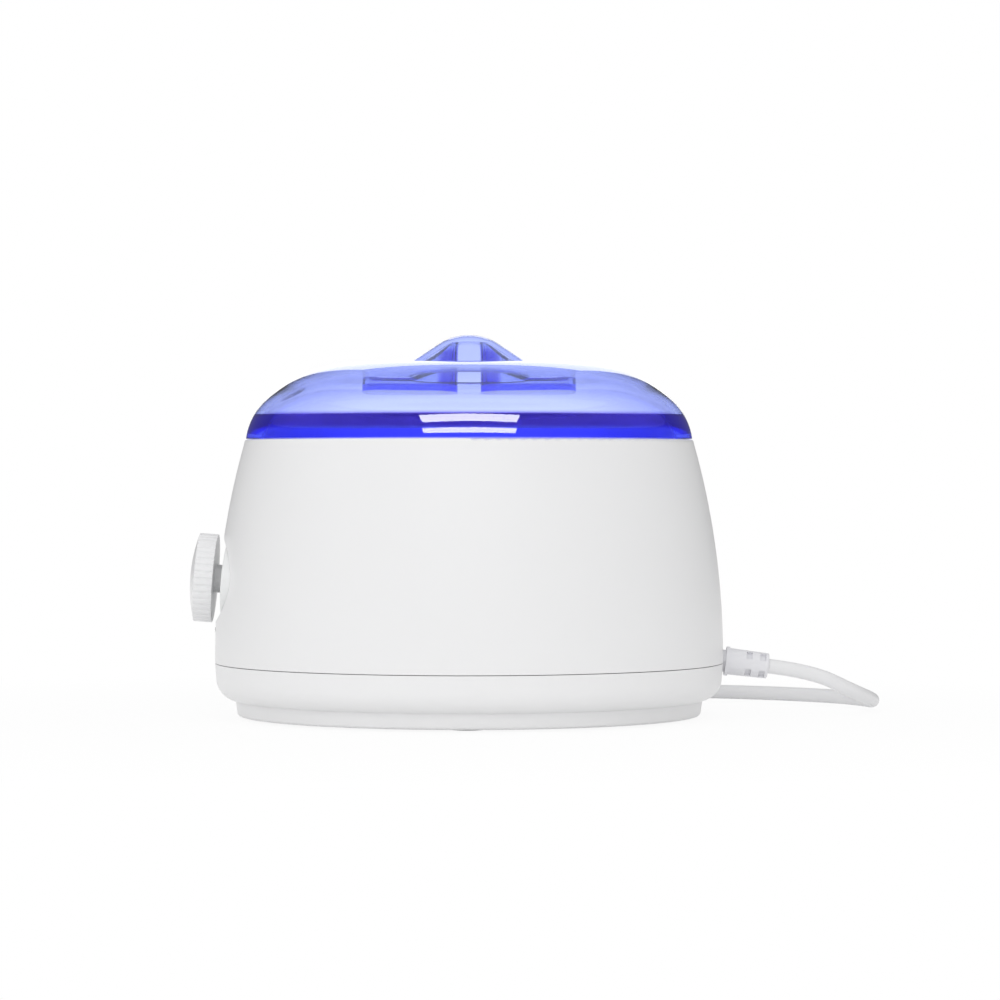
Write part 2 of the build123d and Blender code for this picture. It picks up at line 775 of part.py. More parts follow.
# Heat shield: an open can round the well, screwed to posts on the tray
with BuildPart() as heat_shield:
    with BuildSketch(Plane.XY.offset(shield_low)):
        Circle(shield_inner_radius + shield_wall)
    extrude(amount=shield_high - shield_low)
    with BuildSketch(Plane.XY.offset(shield_low + shield_wall)):
        Circle(shield_inner_radius)
    extrude(amount=shield_high, mode=Mode.SUBTRACT)
    with BuildSketch(Plane.XY.offset(shield_low - 1)):
        Circle(vent_slot_circle)
        with Locations(*[around(shield_post_radius, a, 0)[:2] for a in shield_angles]):
            Circle(small_screw_radius + screw_gap)
    extrude(amount=shield_wall + 2, mode=Mode.SUBTRACT)
heat_shield.part.label = "heat_shield"
export_step(heat_shield.part, "parts/heat_shield.step")


def small_screws(planes, length):
    """Slotted pan screws, heads on the given planes, shanks against their normals."""
    with BuildPart() as screws:
        for plane in planes:
            with BuildSketch(plane):
                Circle(small_head_radius)
            extrude(amount=small_head_height)
            with BuildSketch(plane):
                Circle(small_screw_radius)
            extrude(amount=-length)
            with BuildSketch(plane.offset(small_head_height - small_slot_depth)):
                Rectangle(2 * small_head_radius, small_slot_width)
            extrude(amount=1, mode=Mode.SUBTRACT)
    return screws.part


with BuildPart() as shield_screws:
    head_seat = shield_low + shield_wall
    add(small_screws([Plane(origin=around(shield_post_radius, a, head_seat)) for a in shield_angles], shield_screw_length))
shield_screws.part.label = "shield_screws"
export_step(shield_screws.part, "parts/shield_screws.step")

# Panel behind the knob: a flat oval cup on the housing's ledge
with BuildPart() as fascia_plate:
    with BuildSketch(control_plane.offset(-panel_depth)):
        Ellipse(panel_half_width, panel_half_height)
    extrude(amount=panel_depth)
    chamfer(fascia_plate.faces().sort_by(Axis.X)[0].edges(), length=0.35)
    with BuildSketch(control_plane.offset(-panel_depth)):
        Ellipse(panel_half_width - panel_rim, panel_half_height - panel_rim)
        with Locations((-panel_screw_offset, 0), (panel_screw_offset, 0)):
            Circle(2 * small_screw_radius, mode=Mode.SUBTRACT)
    extrude(amount=panel_depth - panel_skin, mode=Mode.SUBTRACT)
    with BuildSketch(control_plane.offset(-panel_depth)):
        with Locations((-panel_screw_offset, 0), (panel_screw_offset, 0)):
            Circle(small_screw_radius + screw_gap)
    extrude(amount=panel_depth - panel_skin, mode=Mode.SUBTRACT)
    with BuildSketch(control_plane.offset(-panel_depth)):
        Circle(shaft_radius + seat_gap)
    extrude(amount=2 * panel_depth, mode=Mode.SUBTRACT)
fascia_plate.part.label = "fascia_plate"
export_step(fascia_plate.part, "parts/fascia_plate.step")

with BuildPart() as fascia_screws:
    ledge_seat = control_plane.offset(ledge_back)
    seats = [
        Plane(
            origin=ledge_seat.from_local_coords((x, 0, 0)),
            x_dir=(0, 1, 0),
            z_dir=-control_axis,
        )
        for x in (-panel_screw_offset, panel_screw_offset)
    ]
    add(small_screws(seats, panel_ledge + seat_gap + panel_depth - panel_skin - 0.4))
fascia_screws.part.label = "fascia_screws"
export_step(fascia_screws.part, "parts/fascia_screws.step")

# Thermostat: body with a bush through the ledge, nut, and the shaft that the knob turns
body_front = ledge_back - seat_gap
bush_end = -panel_skin - 2 * seat_gap
tab_plane = control_plane.offset(body_front - thermostat_depth + tab_setback)
tab_reach = thermostat_height / 2 + tab_length - 0.5  # the tabs start inside the body
with BuildPart() as thermostat_body:
    with BuildSketch(control_plane.offset(body_front - thermostat_depth)):
        RectangleRounded(thermostat_width, thermostat_height, 2.0)
    extrude(amount=thermostat_depth)
    with BuildSketch(control_plane.offset(body_front)):
        Circle(bush_radius)
    extrude(amount=bush_end - body_front)
    with BuildSketch(tab_plane):
        with Locations(*[(x, tab_length / 2 - tab_reach) for x in tab_spots]):
            Rectangle(tab_width, tab_length)
    extrude(amount=tab_thickness)
    with BuildSketch(tab_plane):
        Circle(shaft_radius + shaft_gap)
    extrude(amount=4 * thermostat_depth, mode=Mode.SUBTRACT)
thermostat_body.part.label = "thermostat_body"
export_step(thermostat_body.part, "parts/thermostat_body.step")

with BuildPart() as thermostat_nut:
    with BuildSketch(control_plane.offset(ledge_face)):
        RegularPolygon(nut_across_flats / 2, 6, major_radius=False)
        Circle(bush_radius + screw_gap, mode=Mode.SUBTRACT)
    extrude(amount=nut_thickness)
thermostat_nut.part.label = "thermostat_nut"
export_step(thermostat_nut.part, "parts/thermostat_nut.step")

with BuildPart() as thermostat_shaft:
    with BuildSketch(tab_plane.offset(seat_gap)):
        Circle(shaft_radius)
    extrude(amount=shaft_end - body_front + thermostat_depth - tab_setback - seat_gap)
    chamfer(thermostat_shaft.faces().sort_by(Axis.X)[0].edges(), length=0.5)
thermostat_shaft.part.label = "thermostat_shaft"
export_step(thermostat_shaft.part, "parts/thermostat_shaft.step")

# Knob: fluted rim, domed face with a pointer groove, and a hub over the shaft
knob_top = knob_standoff + knob_rim + knob_dome
knob_section = Plane(origin=control_plane.origin, x_dir=(0, -1, 0), z_dir=-control_plane.y_dir)
with BuildPart() as control_knob:
    with BuildSketch(control_plane.offset(knob_standoff)):
        Circle(knob_radius)
    extrude(amount=knob_rim)
    with BuildSketch(knob_section):
        with BuildLine():
            rim_edge = (knob_radius, knob_standoff + knob_rim)
            Line((0, knob_standoff + knob_rim), rim_edge)
            RadiusArc(rim_edge, (0, knob_top), -(knob_radius**2 + knob_dome**2) / (2 * knob_dome))
            Line((0, knob_top), (0, knob_standoff + knob_rim))
        make_face()
    revolve(axis=Axis(control_plane.origin, control_plane.z_dir))
    with BuildSketch(control_plane.offset(seat_gap)):
        Circle(knob_hub_radius)
    extrude(amount=knob_standoff)
    with BuildSketch(control_plane.offset(knob_standoff)):
        with PolarLocations(knob_radius + flute_radius / 2, knob_flutes):
            Circle(flute_radius)
    extrude(amount=knob_rim + knob_dome, mode=Mode.SUBTRACT)
    with BuildSketch(control_plane.offset(knob_top - 1.2)):
        with Locations((0, knob_radius * 0.6)):
            SlotOverall(knob_radius * 0.55, pointer_width, rotation=90)
    extrude(amount=knob_dome, mode=Mode.SUBTRACT)
    with BuildSketch(control_plane):
        Circle(shaft_radius + shaft_gap)
    extrude(amount=shaft_end + seat_gap, mode=Mode.SUBTRACT)
control_knob.part.label = "control_knob"
export_step(control_knob.part, "parts/control_knob.step")

# Indicator: lens through the wall, lamp behind it in its holder
with BuildPart() as indicator_lens:
    with BuildSketch(lamp_plane.offset(-wall - seat_gap - lens_flange_thickness)):
        Circle(lens_flange_radius)
    extrude(amount=lens_flange_thickness)
    with BuildSketch(lamp_plane.offset(-wall - seat_gap)):
        Circle(lens_radius)
    extrude(amount=wall + 2 * seat_gap)
    fillet(indicator_lens.faces().sort_by(Axis.X)[0].edges(), radius=0.5)
indicator_lens.part.label = "indicator_lens"
export_step(indicator_lens.part, "parts/indicator_lens.step")

holder_front = -wall - seat_gap
lamp_front = holder_front - lens_flange_thickness - seat_gap
lamp_length = holder_length - lens_flange_thickness - seat_gap  # flush with the holder's back
with BuildPart() as lamp_holder:
    with BuildSketch(lamp_plane.offset(holder_front - holder_length)):
        Circle(holder_outer)
        Circle(holder_bore, mode=Mode.SUBTRACT)
    extrude(amount=holder_length)
    with BuildSketch(lamp_plane.offset(holder_front - holder_length)):
        Circle(holder_bore + holder_wall / 2)
        Circle(lamp_radius + 0.1, mode=Mode.SUBTRACT)
    extrude(amount=1.5)
lamp_holder.part.label = "lamp_holder"
export_step(lamp_holder.part, "parts/lamp_holder.step")

with BuildPart() as indicator_lamp:
    with BuildSketch(lamp_plane.offset(lamp_front)):
        Circle(lamp_radius)
    extrude(amount=-lamp_length)
    fillet(indicator_lamp.faces().sort_by(Axis.X)[0].edges(), radius=0.8)
indicator_lamp.part.label = "indicator_lamp"
export_step(indicator_lamp.part, "parts/indicator_lamp.step")

# Probe and fuse stand against the well, each in its own clip
def upright(radius, length, angle, low):
    """Capsule-ended rod that stands against the well."""
    with BuildPart() as rod:
        reach = well_outer_radius + seat_gap + radius
        with BuildSketch(Plane(origin=around(reach, angle, low))):
            Circle(radius)
        extrude(amount=length)
        fillet(rod.edges().filter_by(GeomType.CIRCLE), radius=0.4 * radius)
    return rod.part


def well_clip(radius, angle, low, height):
    """Block with a bore for a rod and a face curved to the well."""
    with BuildPart() as clip:
        reach = well_outer_radius + seat_gap + radius
        inner = well_outer_radius
        outer = reach + radius + clip_wall
        with BuildSketch(Plane.XY.offset(low)):
            with Locations(Location(around((inner + outer) / 2, angle, 0), (0, 0, 1), angle)):
                Rectangle(outer - inner, 2 * (radius + clip_wall))
            Circle(well_outer_radius + seat_gap, mode=Mode.SUBTRACT)
            with Locations(around(reach, angle, 0)[:2]):
                Circle(radius + screw_gap, mode=Mode.SUBTRACT)
        extrude(amount=height)
    return clip.part


with BuildPart() as thermostat_probe:
    add(upright(probe_radius, probe_length, probe_angle, probe_low))
thermostat_probe.part.label = "thermostat_probe"
export_step(thermostat_probe.part, "parts/thermostat_probe.step")

with BuildPart() as probe_clip:
    add(well_clip(probe_radius, probe_angle, probe_low + probe_clip_rise, probe_clip_height))
probe_clip.part.label = "probe_clip"
export_step(probe_clip.part, "parts/probe_clip.step")

with BuildPart() as thermal_fuse:
    add(upright(fuse_radius, fuse_length, fuse_angle, fuse_low))
thermal_fuse.part.label = "thermal_fuse"
export_step(thermal_fuse.part, "parts/thermal_fuse.step")

with BuildPart() as fuse_clip:
    add(well_clip(fuse_radius, fuse_angle, fuse_low + fuse_clip_rise, fuse_clip_height))
fuse_clip.part.label = "fuse_clip"
export_step(fuse_clip.part, "parts/fuse_clip.step")


def tube(points, radius, share=0.45):
    """Round tube along straight runs joined by tangent arcs."""
    with BuildPart() as piece:
        with BuildLine() as route:
            FilletPolyline(*points, radius=bend_radii(points, share))
        with BuildSketch(Plane(origin=points[0], z_dir=Vector(*points[1]) - Vector(*points[0]))):
            Circle(radius)
        sweep(path=route.wire())
    return piece.part, route.wire().length


probe_reach = well_outer_radius + seat_gap + probe_radius
probe_top = probe_low + probe_length
over_shield = shield_high + 3.2
capillary_end = control_plane.from_local_coords((6, thermostat_height / 2, body_front - 6))
above_end = control_plane.from_local_coords((6, thermostat_height / 2 + 9, body_front - 6))
with BuildPart() as capillary_tube:
    add(
        tube(
            [
                around(probe_reach, probe_angle, probe_top),
                around(probe_reach, probe_angle, over_shield + 1.4),
                around(shield_inner_radius + 5, probe_angle - 7, over_shield),
                around(shield_inner_radius + 6, probe_angle - 17, over_shield - 14),
                above_end,
                capillary_end,
            ],
            capillary_radius,
        )[0]
    )
capillary_tube.part.label = "capillary_tube"
export_step(capillary_tube.part, "parts/capillary_tube.step")

# Mains entry: slotted sleeve outside, neck through the wall, collar inside
collar_front = -wall - seat_gap - gland_collar_radius * sin(radians(gland_tilt))
flange_back = seat_gap + gland_flange_radius * sin(radians(gland_tilt))
with BuildPart() as strain_relief:
    with BuildSketch(gland_plane.offset(collar_front - gland_collar_thickness)):
        Circle(gland_collar_radius)
    extrude(amount=gland_collar_thickness)
    with BuildSketch(gland_plane.offset(collar_front)):
        Circle(gland_neck_radius)
    extrude(amount=flange_back - collar_front)
    with BuildSketch(gland_plane.offset(flange_back)):
        Circle(gland_flange_radius)
    extrude(amount=gland_flange_thickness)
    with BuildSketch(gland_plane.offset(flange_back + gland_flange_thickness)):
        Circle(gland_sleeve_radius)
    with BuildSketch(gland_plane.offset(gland_length)):
        Circle(gland_end_radius)
    loft()
    fillet(strain_relief.faces().sort_by(Axis.X)[-1].edges(), radius=0.6)
    for station in (0.5, 0.8):
        for turn in (45, 135, 225, 315):
            notch = gland_plane.offset(gland_length * station)
            with BuildSketch(notch):
                depth_middle = gland_sleeve_radius - gland_notch_depth / 2 + 0.5
                spot = (depth_middle * cos(radians(turn)), depth_middle * sin(radians(turn)), 0)
                with Locations(Location(spot, (0, 0, 1), turn)):
                    Rectangle(gland_notch_depth + 1, gland_notch_width)
            extrude(amount=gland_notch_length, mode=Mode.SUBTRACT)
    with BuildSketch(gland_plane.offset(-4 * wall)):
        Circle(lead_radius + shaft_gap)
    extrude(amount=gland_length + 8 * wall, mode=Mode.SUBTRACT)
strain_relief.part.label = "strain_relief"
export_step(strain_relief.part, "parts/strain_relief.step")

# Lead inside: through the sleeve, down to the clamp on the floor
lead_rest = floor_top + seat_gap + lead_radius
gland_mouth = gland_plane.from_local_coords((0, 0, gland_length))
inner_lead_bend = (clamp_reach - 9, 0, lead_rest)
inner_lead_end = (clamp_reach - 18, -13, lead_rest)
inner_lead_points = [
    gland_mouth,
    gland_plane.from_local_coords((0, 0, -12.5)),
    (clamp_reach + 9, 0, lead_rest),
    inner_lead_bend,
    inner_lead_end,
]
inner_lead_part = tube(inner_lead_points, lead_radius, 0.4)[0]
with BuildPart() as lead_inside:
    add(inner_lead_part)
lead_inside.part.label = "lead_inside"
export_step(lead_inside.part, "parts/lead_inside.step")

with BuildPart() as cord_clamp:
    with BuildSketch(Plane.XY.offset(floor_top)):
        with Locations((clamp_reach, 0)):
            Rectangle(clamp_width, clamp_length)
            Rectangle(clamp_width + 1, 2 * lead_radius + 0.4, mode=Mode.SUBTRACT)
    extrude(amount=2 * lead_radius + 2 * seat_gap)
    with BuildSketch(Plane.XY.offset(floor_top + 2 * lead_radius + 2 * seat_gap)):
        with Locations((clamp_reach, 0)):
            Rectangle(clamp_width, clamp_length)
    extrude(amount=clamp_thickness)
    with BuildSketch(Plane.XY.offset(floor_top)):
        with Locations((clamp_reach, -clamp_screw_offset), (clamp_reach, clamp_screw_offset)):
            Circle(small_screw_radius + screw_gap)
    extrude(amount=clamp_length, mode=Mode.SUBTRACT)
cord_clamp.part.label = "cord_clamp"
export_step(cord_clamp.part, "parts/cord_clamp.step")

clamp_top = floor_top + 2 * lead_radius + 2 * seat_gap + clamp_thickness
with BuildPart() as clamp_screws:
    seats = [Plane(origin=(clamp_reach, y, clamp_top)) for y in (-clamp_screw_offset, clamp_screw_offset)]
    add(small_screws(seats, clamp_top - floor_top - 0.1))
clamp_screws.part.label = "clamp_screws"
export_step(clamp_screws.part, "parts/clamp_screws.step")

# Terminal block on the floor, with its clamping screws on top
terminal_plane = Plane(
    origin=around(terminal_reach, terminal_angle, floor_top),
    x_dir=around(1, terminal_angle, 0),
    z_dir=(0, 0, 1),
)
terminal_ways = [-terminal_pitch, 0.0, terminal_pitch]
with BuildPart() as terminal_block:
    with BuildSketch(terminal_plane):
        RectangleRounded(terminal_width, terminal_length, 1.5)
    extrude(amount=terminal_height)
    with BuildSketch(terminal_plane.offset(terminal_height - terminal_pocket)):
        with Locations(*[(0, y) for y in terminal_ways]):
            Circle(small_head_radius + screw_gap)
    extrude(amount=terminal_pocket, mode=Mode.SUBTRACT)
terminal_block.part.label = "terminal_block"
export_step(terminal_block.part, "parts/terminal_block.step")

with BuildPart() as terminal_screws:
    screw_seat = terminal_plane.offset(terminal_height - terminal_pocket)
    with BuildSketch(screw_seat):
        with Locations(*[(0, y) for y in terminal_ways]):
            Circle(small_head_radius)
    extrude(amount=terminal_screw_height)
    with BuildSketch(screw_seat.offset(terminal_screw_height - small_slot_depth)):
        with Locations(*[(0, y) for y in terminal_ways]):
            Rectangle(2 * small_head_radius + 1, small_slot_width)
    extrude(amount=small_slot_depth, mode=Mode.SUBTRACT)
terminal_screws.part.label = "terminal_screws"
export_step(terminal_screws.part, "parts/terminal_screws.step")

# Wires from the block to the thermostat, the band and the lamp
half_block = terminal_width / 2
wire_ring = shield_inner_radius + shield_wall + 3


def block_spot(side, along, height, away=0.0):
    """Point on a side of the block: -1 faces the axis, 1 faces out."""
    spot = terminal_plane.from_local_coords((side * (half_block + away), along, height))
    return (spot.X, spot.Y, spot.Z)


with BuildPart() as mains_wires:
    lead_end = Vector(*inner_lead_end)
    heading = (lead_end - Vector(*inner_lead_bend)).normalized()
    across = Vector(-heading.Y, heading.X, 0)
    for side in (-1, 1):
        start = lead_end + across * 1.1 * side
        away = start + heading * 5
        add(
            tube(
                [
                    tuple(start),
                    tuple(away),
                    block_spot(-1, 2.75 - 2.25 * side, 3 + 1.5 * side, 8),
                    block_spot(-1, 2.75 - 2.25 * side, 3 + 1.5 * side),
                ],
                wire_radius,
            )[0]
        )
mains_wires.part.label = "mains_wires"
export_step(mains_wires.part, "parts/mains_wires.step")

with BuildPart() as thermostat_wires:
    for side, height, tab_spot in ((-1, 4.0, tab_spots[0]), (1, 8.0, tab_spots[1])):
        tab = tab_plane.from_local_coords((tab_spot, -tab_reach, tab_thickness / 2))
        below = tab_plane.from_local_coords((tab_spot, -tab_reach - 6.5, tab_thickness / 2))
        add(
            tube(
                [block_spot(1, -3 * side, height)]
                + [block_spot(1, -3 * side, height, 6)]
                + [around(wire_ring, a, floor_top + height) for a in range(-66, -150, -20)]
                + [around(wire_ring, -164, floor_top + height)]
                + [tuple(below), tuple(tab)],
                wire_radius,
                0.35,
            )[0]
        )
thermostat_wires.part.label = "thermostat_wires"
export_step(thermostat_wires.part, "parts/thermostat_wires.step")

under_well = (shield_low + shield_wall + well_bottom_height) / 2
band_middle = band_inner + element_thickness / 2
with BuildPart() as element_wires:
    for side in (-1, 1):
        angle = strap_angle - 14 * side
        add(
            tube(
                [
                    block_spot(-1, -9 - 1.5 * side, 6.5),
                    block_spot(-1, -9 - 1.5 * side, 6.5, 9),
                    around(12, -60 - 40 * side, floor_top + 7),
                    around(12, -60 - 40 * side, under_well),
                    around(band_middle, angle, under_well),
                    around(band_middle, angle, element_low),
                ],
                wire_radius,
                0.3,
            )[0]
        )
element_wires.part.label = "element_wires"
export_step(element_wires.part, "parts/element_wires.step")

lamp_back = lamp_front - lamp_length
with BuildPart() as lamp_wires:
    for side in (-1, 1):
        end = lamp_plane.from_local_coords((lamp_wire_offset * side, 0, lamp_back))
        bend = lamp_plane.from_local_coords((lamp_wire_offset * side, 0, lamp_back - 5))
        wire_rest = floor_top + wire_radius + seat_gap
        add(
            tube(
                [
                    tuple(end),
                    tuple(bend),
                    (bend.X + 1.5, bend.Y, floor_top + 8),
                    (bend.X + 4, bend.Y, wire_rest),
                    (bend.X + lamp_wire_run, bend.Y - 4 - 2 * side, wire_rest),
                ],
                wire_radius,
                0.3,
            )[0]
        )
lamp_wires.part.label = "lamp_wires"
export_step(lamp_wires.part, "parts/lamp_wires.step")

# Lead outside: out of the sleeve, down to the table and back behind the body
lead_straight = gland_plane.from_local_coords((0, 0, gland_length + lead_exit_run))
coil_start_x = coil_centre[0] + 2 * lead_radius
coil_start_y = coil_centre[1] - coil_radius
outer_lead_points = [
    tuple(gland_mouth),
    tuple(lead_straight),
    (138, 7, 8.5),
    (149, 27, coil_lift),
    (142, 55, coil_lift),
    (116, 80, coil_lift),
    (86, 94, coil_lift),
    (56, coil_start_y, coil_lift),
    (coil_start_x, coil_start_y, coil_lift),
]
outer_part, outer_length = tube(outer_lead_points, lead_radius)
with BuildPart() as flex_lead:
    add(outer_part)
flex_lead.part.label = "flex_lead"
export_step(flex_lead.part, "parts/flex_lead.step")
lead_section = pi * lead_radius**2
print("lead radii", [round(r, 1) for r in bend_radii(outer_lead_points)])
print("lead length", round(outer_length, 1))
print("lead volume ratio", round(outer_part.volume / (lead_section * outer_length), 4))

# Coil: spirals in on the lower layer, climbs in the half turn at its heart, spirals out
half_pitch = coil_pitch / 2
heart_radius = coil_radius - half_pitch * coil_half_turns_in
turn_radii = [coil_radius - half_pitch * k for k in range(coil_half_turns_in)]
turn_radii += [heart_radius - climb_inset, heart_radius - climb_inset]
turn_radii += [heart_radius + half_pitch * k for k in range(1, coil_half_turns_out + 1)]
coil_spots = []
for step, radius in enumerate(turn_radii):
    layer = 0 if step <= coil_half_turns_in else 1
    swing = -1 if step % 2 == 0 else 1
    spot = Vector(coil_centre[0], coil_centre[1] + swing * radius, coil_lift + layer * coil_pitch)
    heading = Vector(swing, 0, 0)
    coil_spots.append((spot, heading))

with BuildPart() as flex_coil:
    with BuildLine() as coil_route:
        first, heading = coil_spots[0]
        Line(first - heading * 2 * lead_radius, first)
        for (spot, heading), (next_spot, next_heading) in zip(coil_spots, coil_spots[1:]):
            reach = (next_spot - spot).length / 2
            corner = spot + heading * reach
            next_corner = next_spot - next_heading * reach
            middle = (corner + next_corner) / 2
            TangentArc(spot, middle, tangent=heading)
            TangentArc(middle, next_spot, tangent=next_corner - corner)
        last, heading = coil_spots[-1]
        Line(last, last + heading * 2 * lead_radius)
    first, heading = coil_spots[0]
    with BuildSketch(Plane(origin=first - heading * 2 * lead_radius, z_dir=heading)):
        Circle(lead_radius)
    sweep(path=coil_route.wire())
flex_coil.part.label = "flex_coil"
export_step(flex_coil.part, "parts/flex_coil.step")

coil_length = coil_route.wire().length
samples = [coil_route.wire() @ (k / 900) for k in range(901)]
spacing = coil_length / 900
skip = int(6 * lead_radius / spacing)
closest = min(
    (samples[a] - samples[b]).length
    for a in range(0, 901, 2)
    for b in range(a + skip, 901, 2)
)
print("coil length", round(coil_length, 1), "least gap to itself", round(closest - 2 * lead_radius, 2))
print("coil volume ratio", round(flex_coil.part.volume / (lead_section * coil_length), 4))

tie_low = coil_lift - lead_radius - tie_thickness - 0.2
tie_high = coil_lift + coil_pitch + lead_radius + 0.2
tie_inner = min(turn_radii) - lead_radius - 0.3
tie_outer = turn_radii[1] + lead_radius + 0.3
with BuildPart() as coil_tie:
    with BuildSketch(Plane.YZ.offset(coil_centre[0] - tie_width / 2)):
        tie_across = coil_centre[1] + (tie_inner + tie_outer) / 2
        with Locations((tie_across, (tie_low + tie_high + tie_thickness) / 2)):
            RectangleRounded(
                tie_outer - tie_inner + 2 * tie_thickness,
                tie_high - tie_low + tie_thickness,
                2.0,
            )
            RectangleRounded(
                tie_outer - tie_inner,
                tie_high - tie_low - tie_thickness,
                1.5,
                mode=Mode.SUBTRACT,
            )
    extrude(amount=tie_width)
coil_tie.part.label = "coil_tie"
export_step(coil_tie.part, "parts/coil_tie.step")

# Tail of the lead, off the coil and down to the plug that lies beside it
tail_step = 13.0
last, heading = coil_spots[-1]
tail_start = last + heading * 2 * lead_radius
plug_rest = plug_half_thickness + 0.1
tail_points = [
    tuple(tail_start),
    (tail_start.X - tail_step, tail_start.Y, tail_start.Z),
    (tail_start.X - 2 * tail_step, tail_start.Y + 1.8, plug_rest),
    (tail_start.X - 3 * tail_step, tail_start.Y + 6.0, plug_rest),
]
tail_part, tail_length = tube(tail_points, lead_radius)
with BuildPart() as flex_tail:
    add(tail_part)
flex_tail.part.label = "flex_tail"
export_step(flex_tail.part, "parts/flex_tail.step")
print("tail radii", [round(r, 1) for r in bend_radii(tail_points)])
print("whole lead outside", round(outer_length + coil_length + tail_length, 1))

plug_axis = (Vector(*tail_points[-1]) - Vector(*tail_points[-2])).normalized()
plug_plane = Plane(origin=tail_points[-1], x_dir=(-plug_axis.Y, plug_axis.X, 0), z_dir=plug_axis)
with BuildPart() as plug_body:
    with BuildSketch(plug_plane):
        Circle(plug_tail_radius)
    with BuildSketch(plug_plane.offset(plug_tail_length)):
        Circle(plug_tail_radius + 1.4)
    loft()
    with BuildSketch(plug_plane.offset(plug_tail_length)):
        RectangleRounded(1.3 * plug_half_width, 1.6 * plug_half_thickness, 4.0)
    with BuildSketch(plug_plane.offset(plug_tail_length + plug_length * 0.35)):
        RectangleRounded(2 * plug_half_width, 2 * plug_half_thickness, 4.5)
    loft()
    with BuildSketch(plug_plane.offset(plug_tail_length + plug_length * 0.35)):
        RectangleRounded(2 * plug_half_width, 2 * plug_half_thickness, 4.5)
    extrude(amount=plug_length * 0.65)
plug_body.part.label = "plug_body"
export_step(plug_body.part, "parts/plug_body.step")

pin_plane = plug_plane.offset(plug_tail_length + plug_length)
with BuildPart() as plug_pins:
    with BuildSketch(pin_plane):
        with Locations((-plug_pin_spacing / 2, 0), (plug_pin_spacing / 2, 0)):
            Circle(plug_pin_radius)
    extrude(amount=plug_pin_length)
    tips = plug_pins.faces().sort_by(Axis(plug_plane.origin, plug_plane.z_dir))[-2:]
    fillet(tips.edges(), radius=1.0)
plug_pins.part.label = "plug_pins"
export_step(plug_pins.part, "parts/plug_pins.step")
print("gland mouth", gland_mouth, "plug pins start", pin_plane.origin)
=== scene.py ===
import bpy
import bmesh
import json
from math import atan2, cos, hypot, pi, radians, sin
from mathutils import Matrix, Vector


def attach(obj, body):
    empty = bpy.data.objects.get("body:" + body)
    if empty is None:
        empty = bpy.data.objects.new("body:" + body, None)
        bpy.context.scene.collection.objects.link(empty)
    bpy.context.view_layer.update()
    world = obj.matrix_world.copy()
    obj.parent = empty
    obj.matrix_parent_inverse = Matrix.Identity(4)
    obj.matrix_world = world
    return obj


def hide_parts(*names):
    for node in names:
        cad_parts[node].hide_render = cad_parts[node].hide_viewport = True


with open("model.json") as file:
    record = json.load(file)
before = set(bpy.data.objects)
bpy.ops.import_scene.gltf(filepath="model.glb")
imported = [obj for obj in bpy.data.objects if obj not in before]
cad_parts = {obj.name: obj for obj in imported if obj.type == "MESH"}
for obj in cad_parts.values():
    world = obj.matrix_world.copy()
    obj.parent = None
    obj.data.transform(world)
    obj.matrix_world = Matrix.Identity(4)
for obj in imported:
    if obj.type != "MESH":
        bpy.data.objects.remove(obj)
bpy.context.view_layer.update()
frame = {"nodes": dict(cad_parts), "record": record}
nodes = frame["nodes"]
scene = bpy.context.scene
scene.view_settings.view_transform = "Standard"
print("frame loaded:", len(nodes), "nodes")

# The camera stands at table height, a little below the lid's rim
cameraPlan = {
    "place": (0.0110, -1.33, 0.088),
    "tiltDown": 0.46,  # degrees
    "lens": 134.1,
    "sensor": 36.0,
}
cameraData = bpy.data.cameras.new("photoCamera")
cameraData.lens = cameraPlan["lens"]
cameraData.sensor_width = cameraPlan["sensor"]
cameraObject = bpy.data.objects.new("photoCamera", cameraData)
cameraObject.location = cameraPlan["place"]
cameraObject.rotation_euler = (radians(90 - cameraPlan["tiltDown"]), 0, 0)
scene.collection.objects.link(cameraObject)
scene.camera = cameraObject


# Shader maths as plain expressions
class Signal:
    def __init__(self, finish, socket):
        self.finish = finish
        self.socket = socket

    def maths(self, operation, first, second):
        return self.finish.node("ShaderNodeMath", {"operation": operation}, {0: first, 1: second})

    def __add__(self, other):
        return self.maths("ADD", self, other)

    def __radd__(self, other):
        return self.maths("ADD", other, self)

    def __sub__(self, other):
        return self.maths("SUBTRACT", self, other)

    def __rsub__(self, other):
        return self.maths("SUBTRACT", other, self)

    def __mul__(self, other):
        return self.maths("MULTIPLY", self, other)

    def __rmul__(self, other):
        return self.maths("MULTIPLY", other, self)

    def __pow__(self, other):
        return self.maths("POWER", self, other)

    def __rpow__(self, other):
        return self.maths("POWER", other, self)

    def __abs__(self):
        return self.maths("ABSOLUTE", self, 0.0)


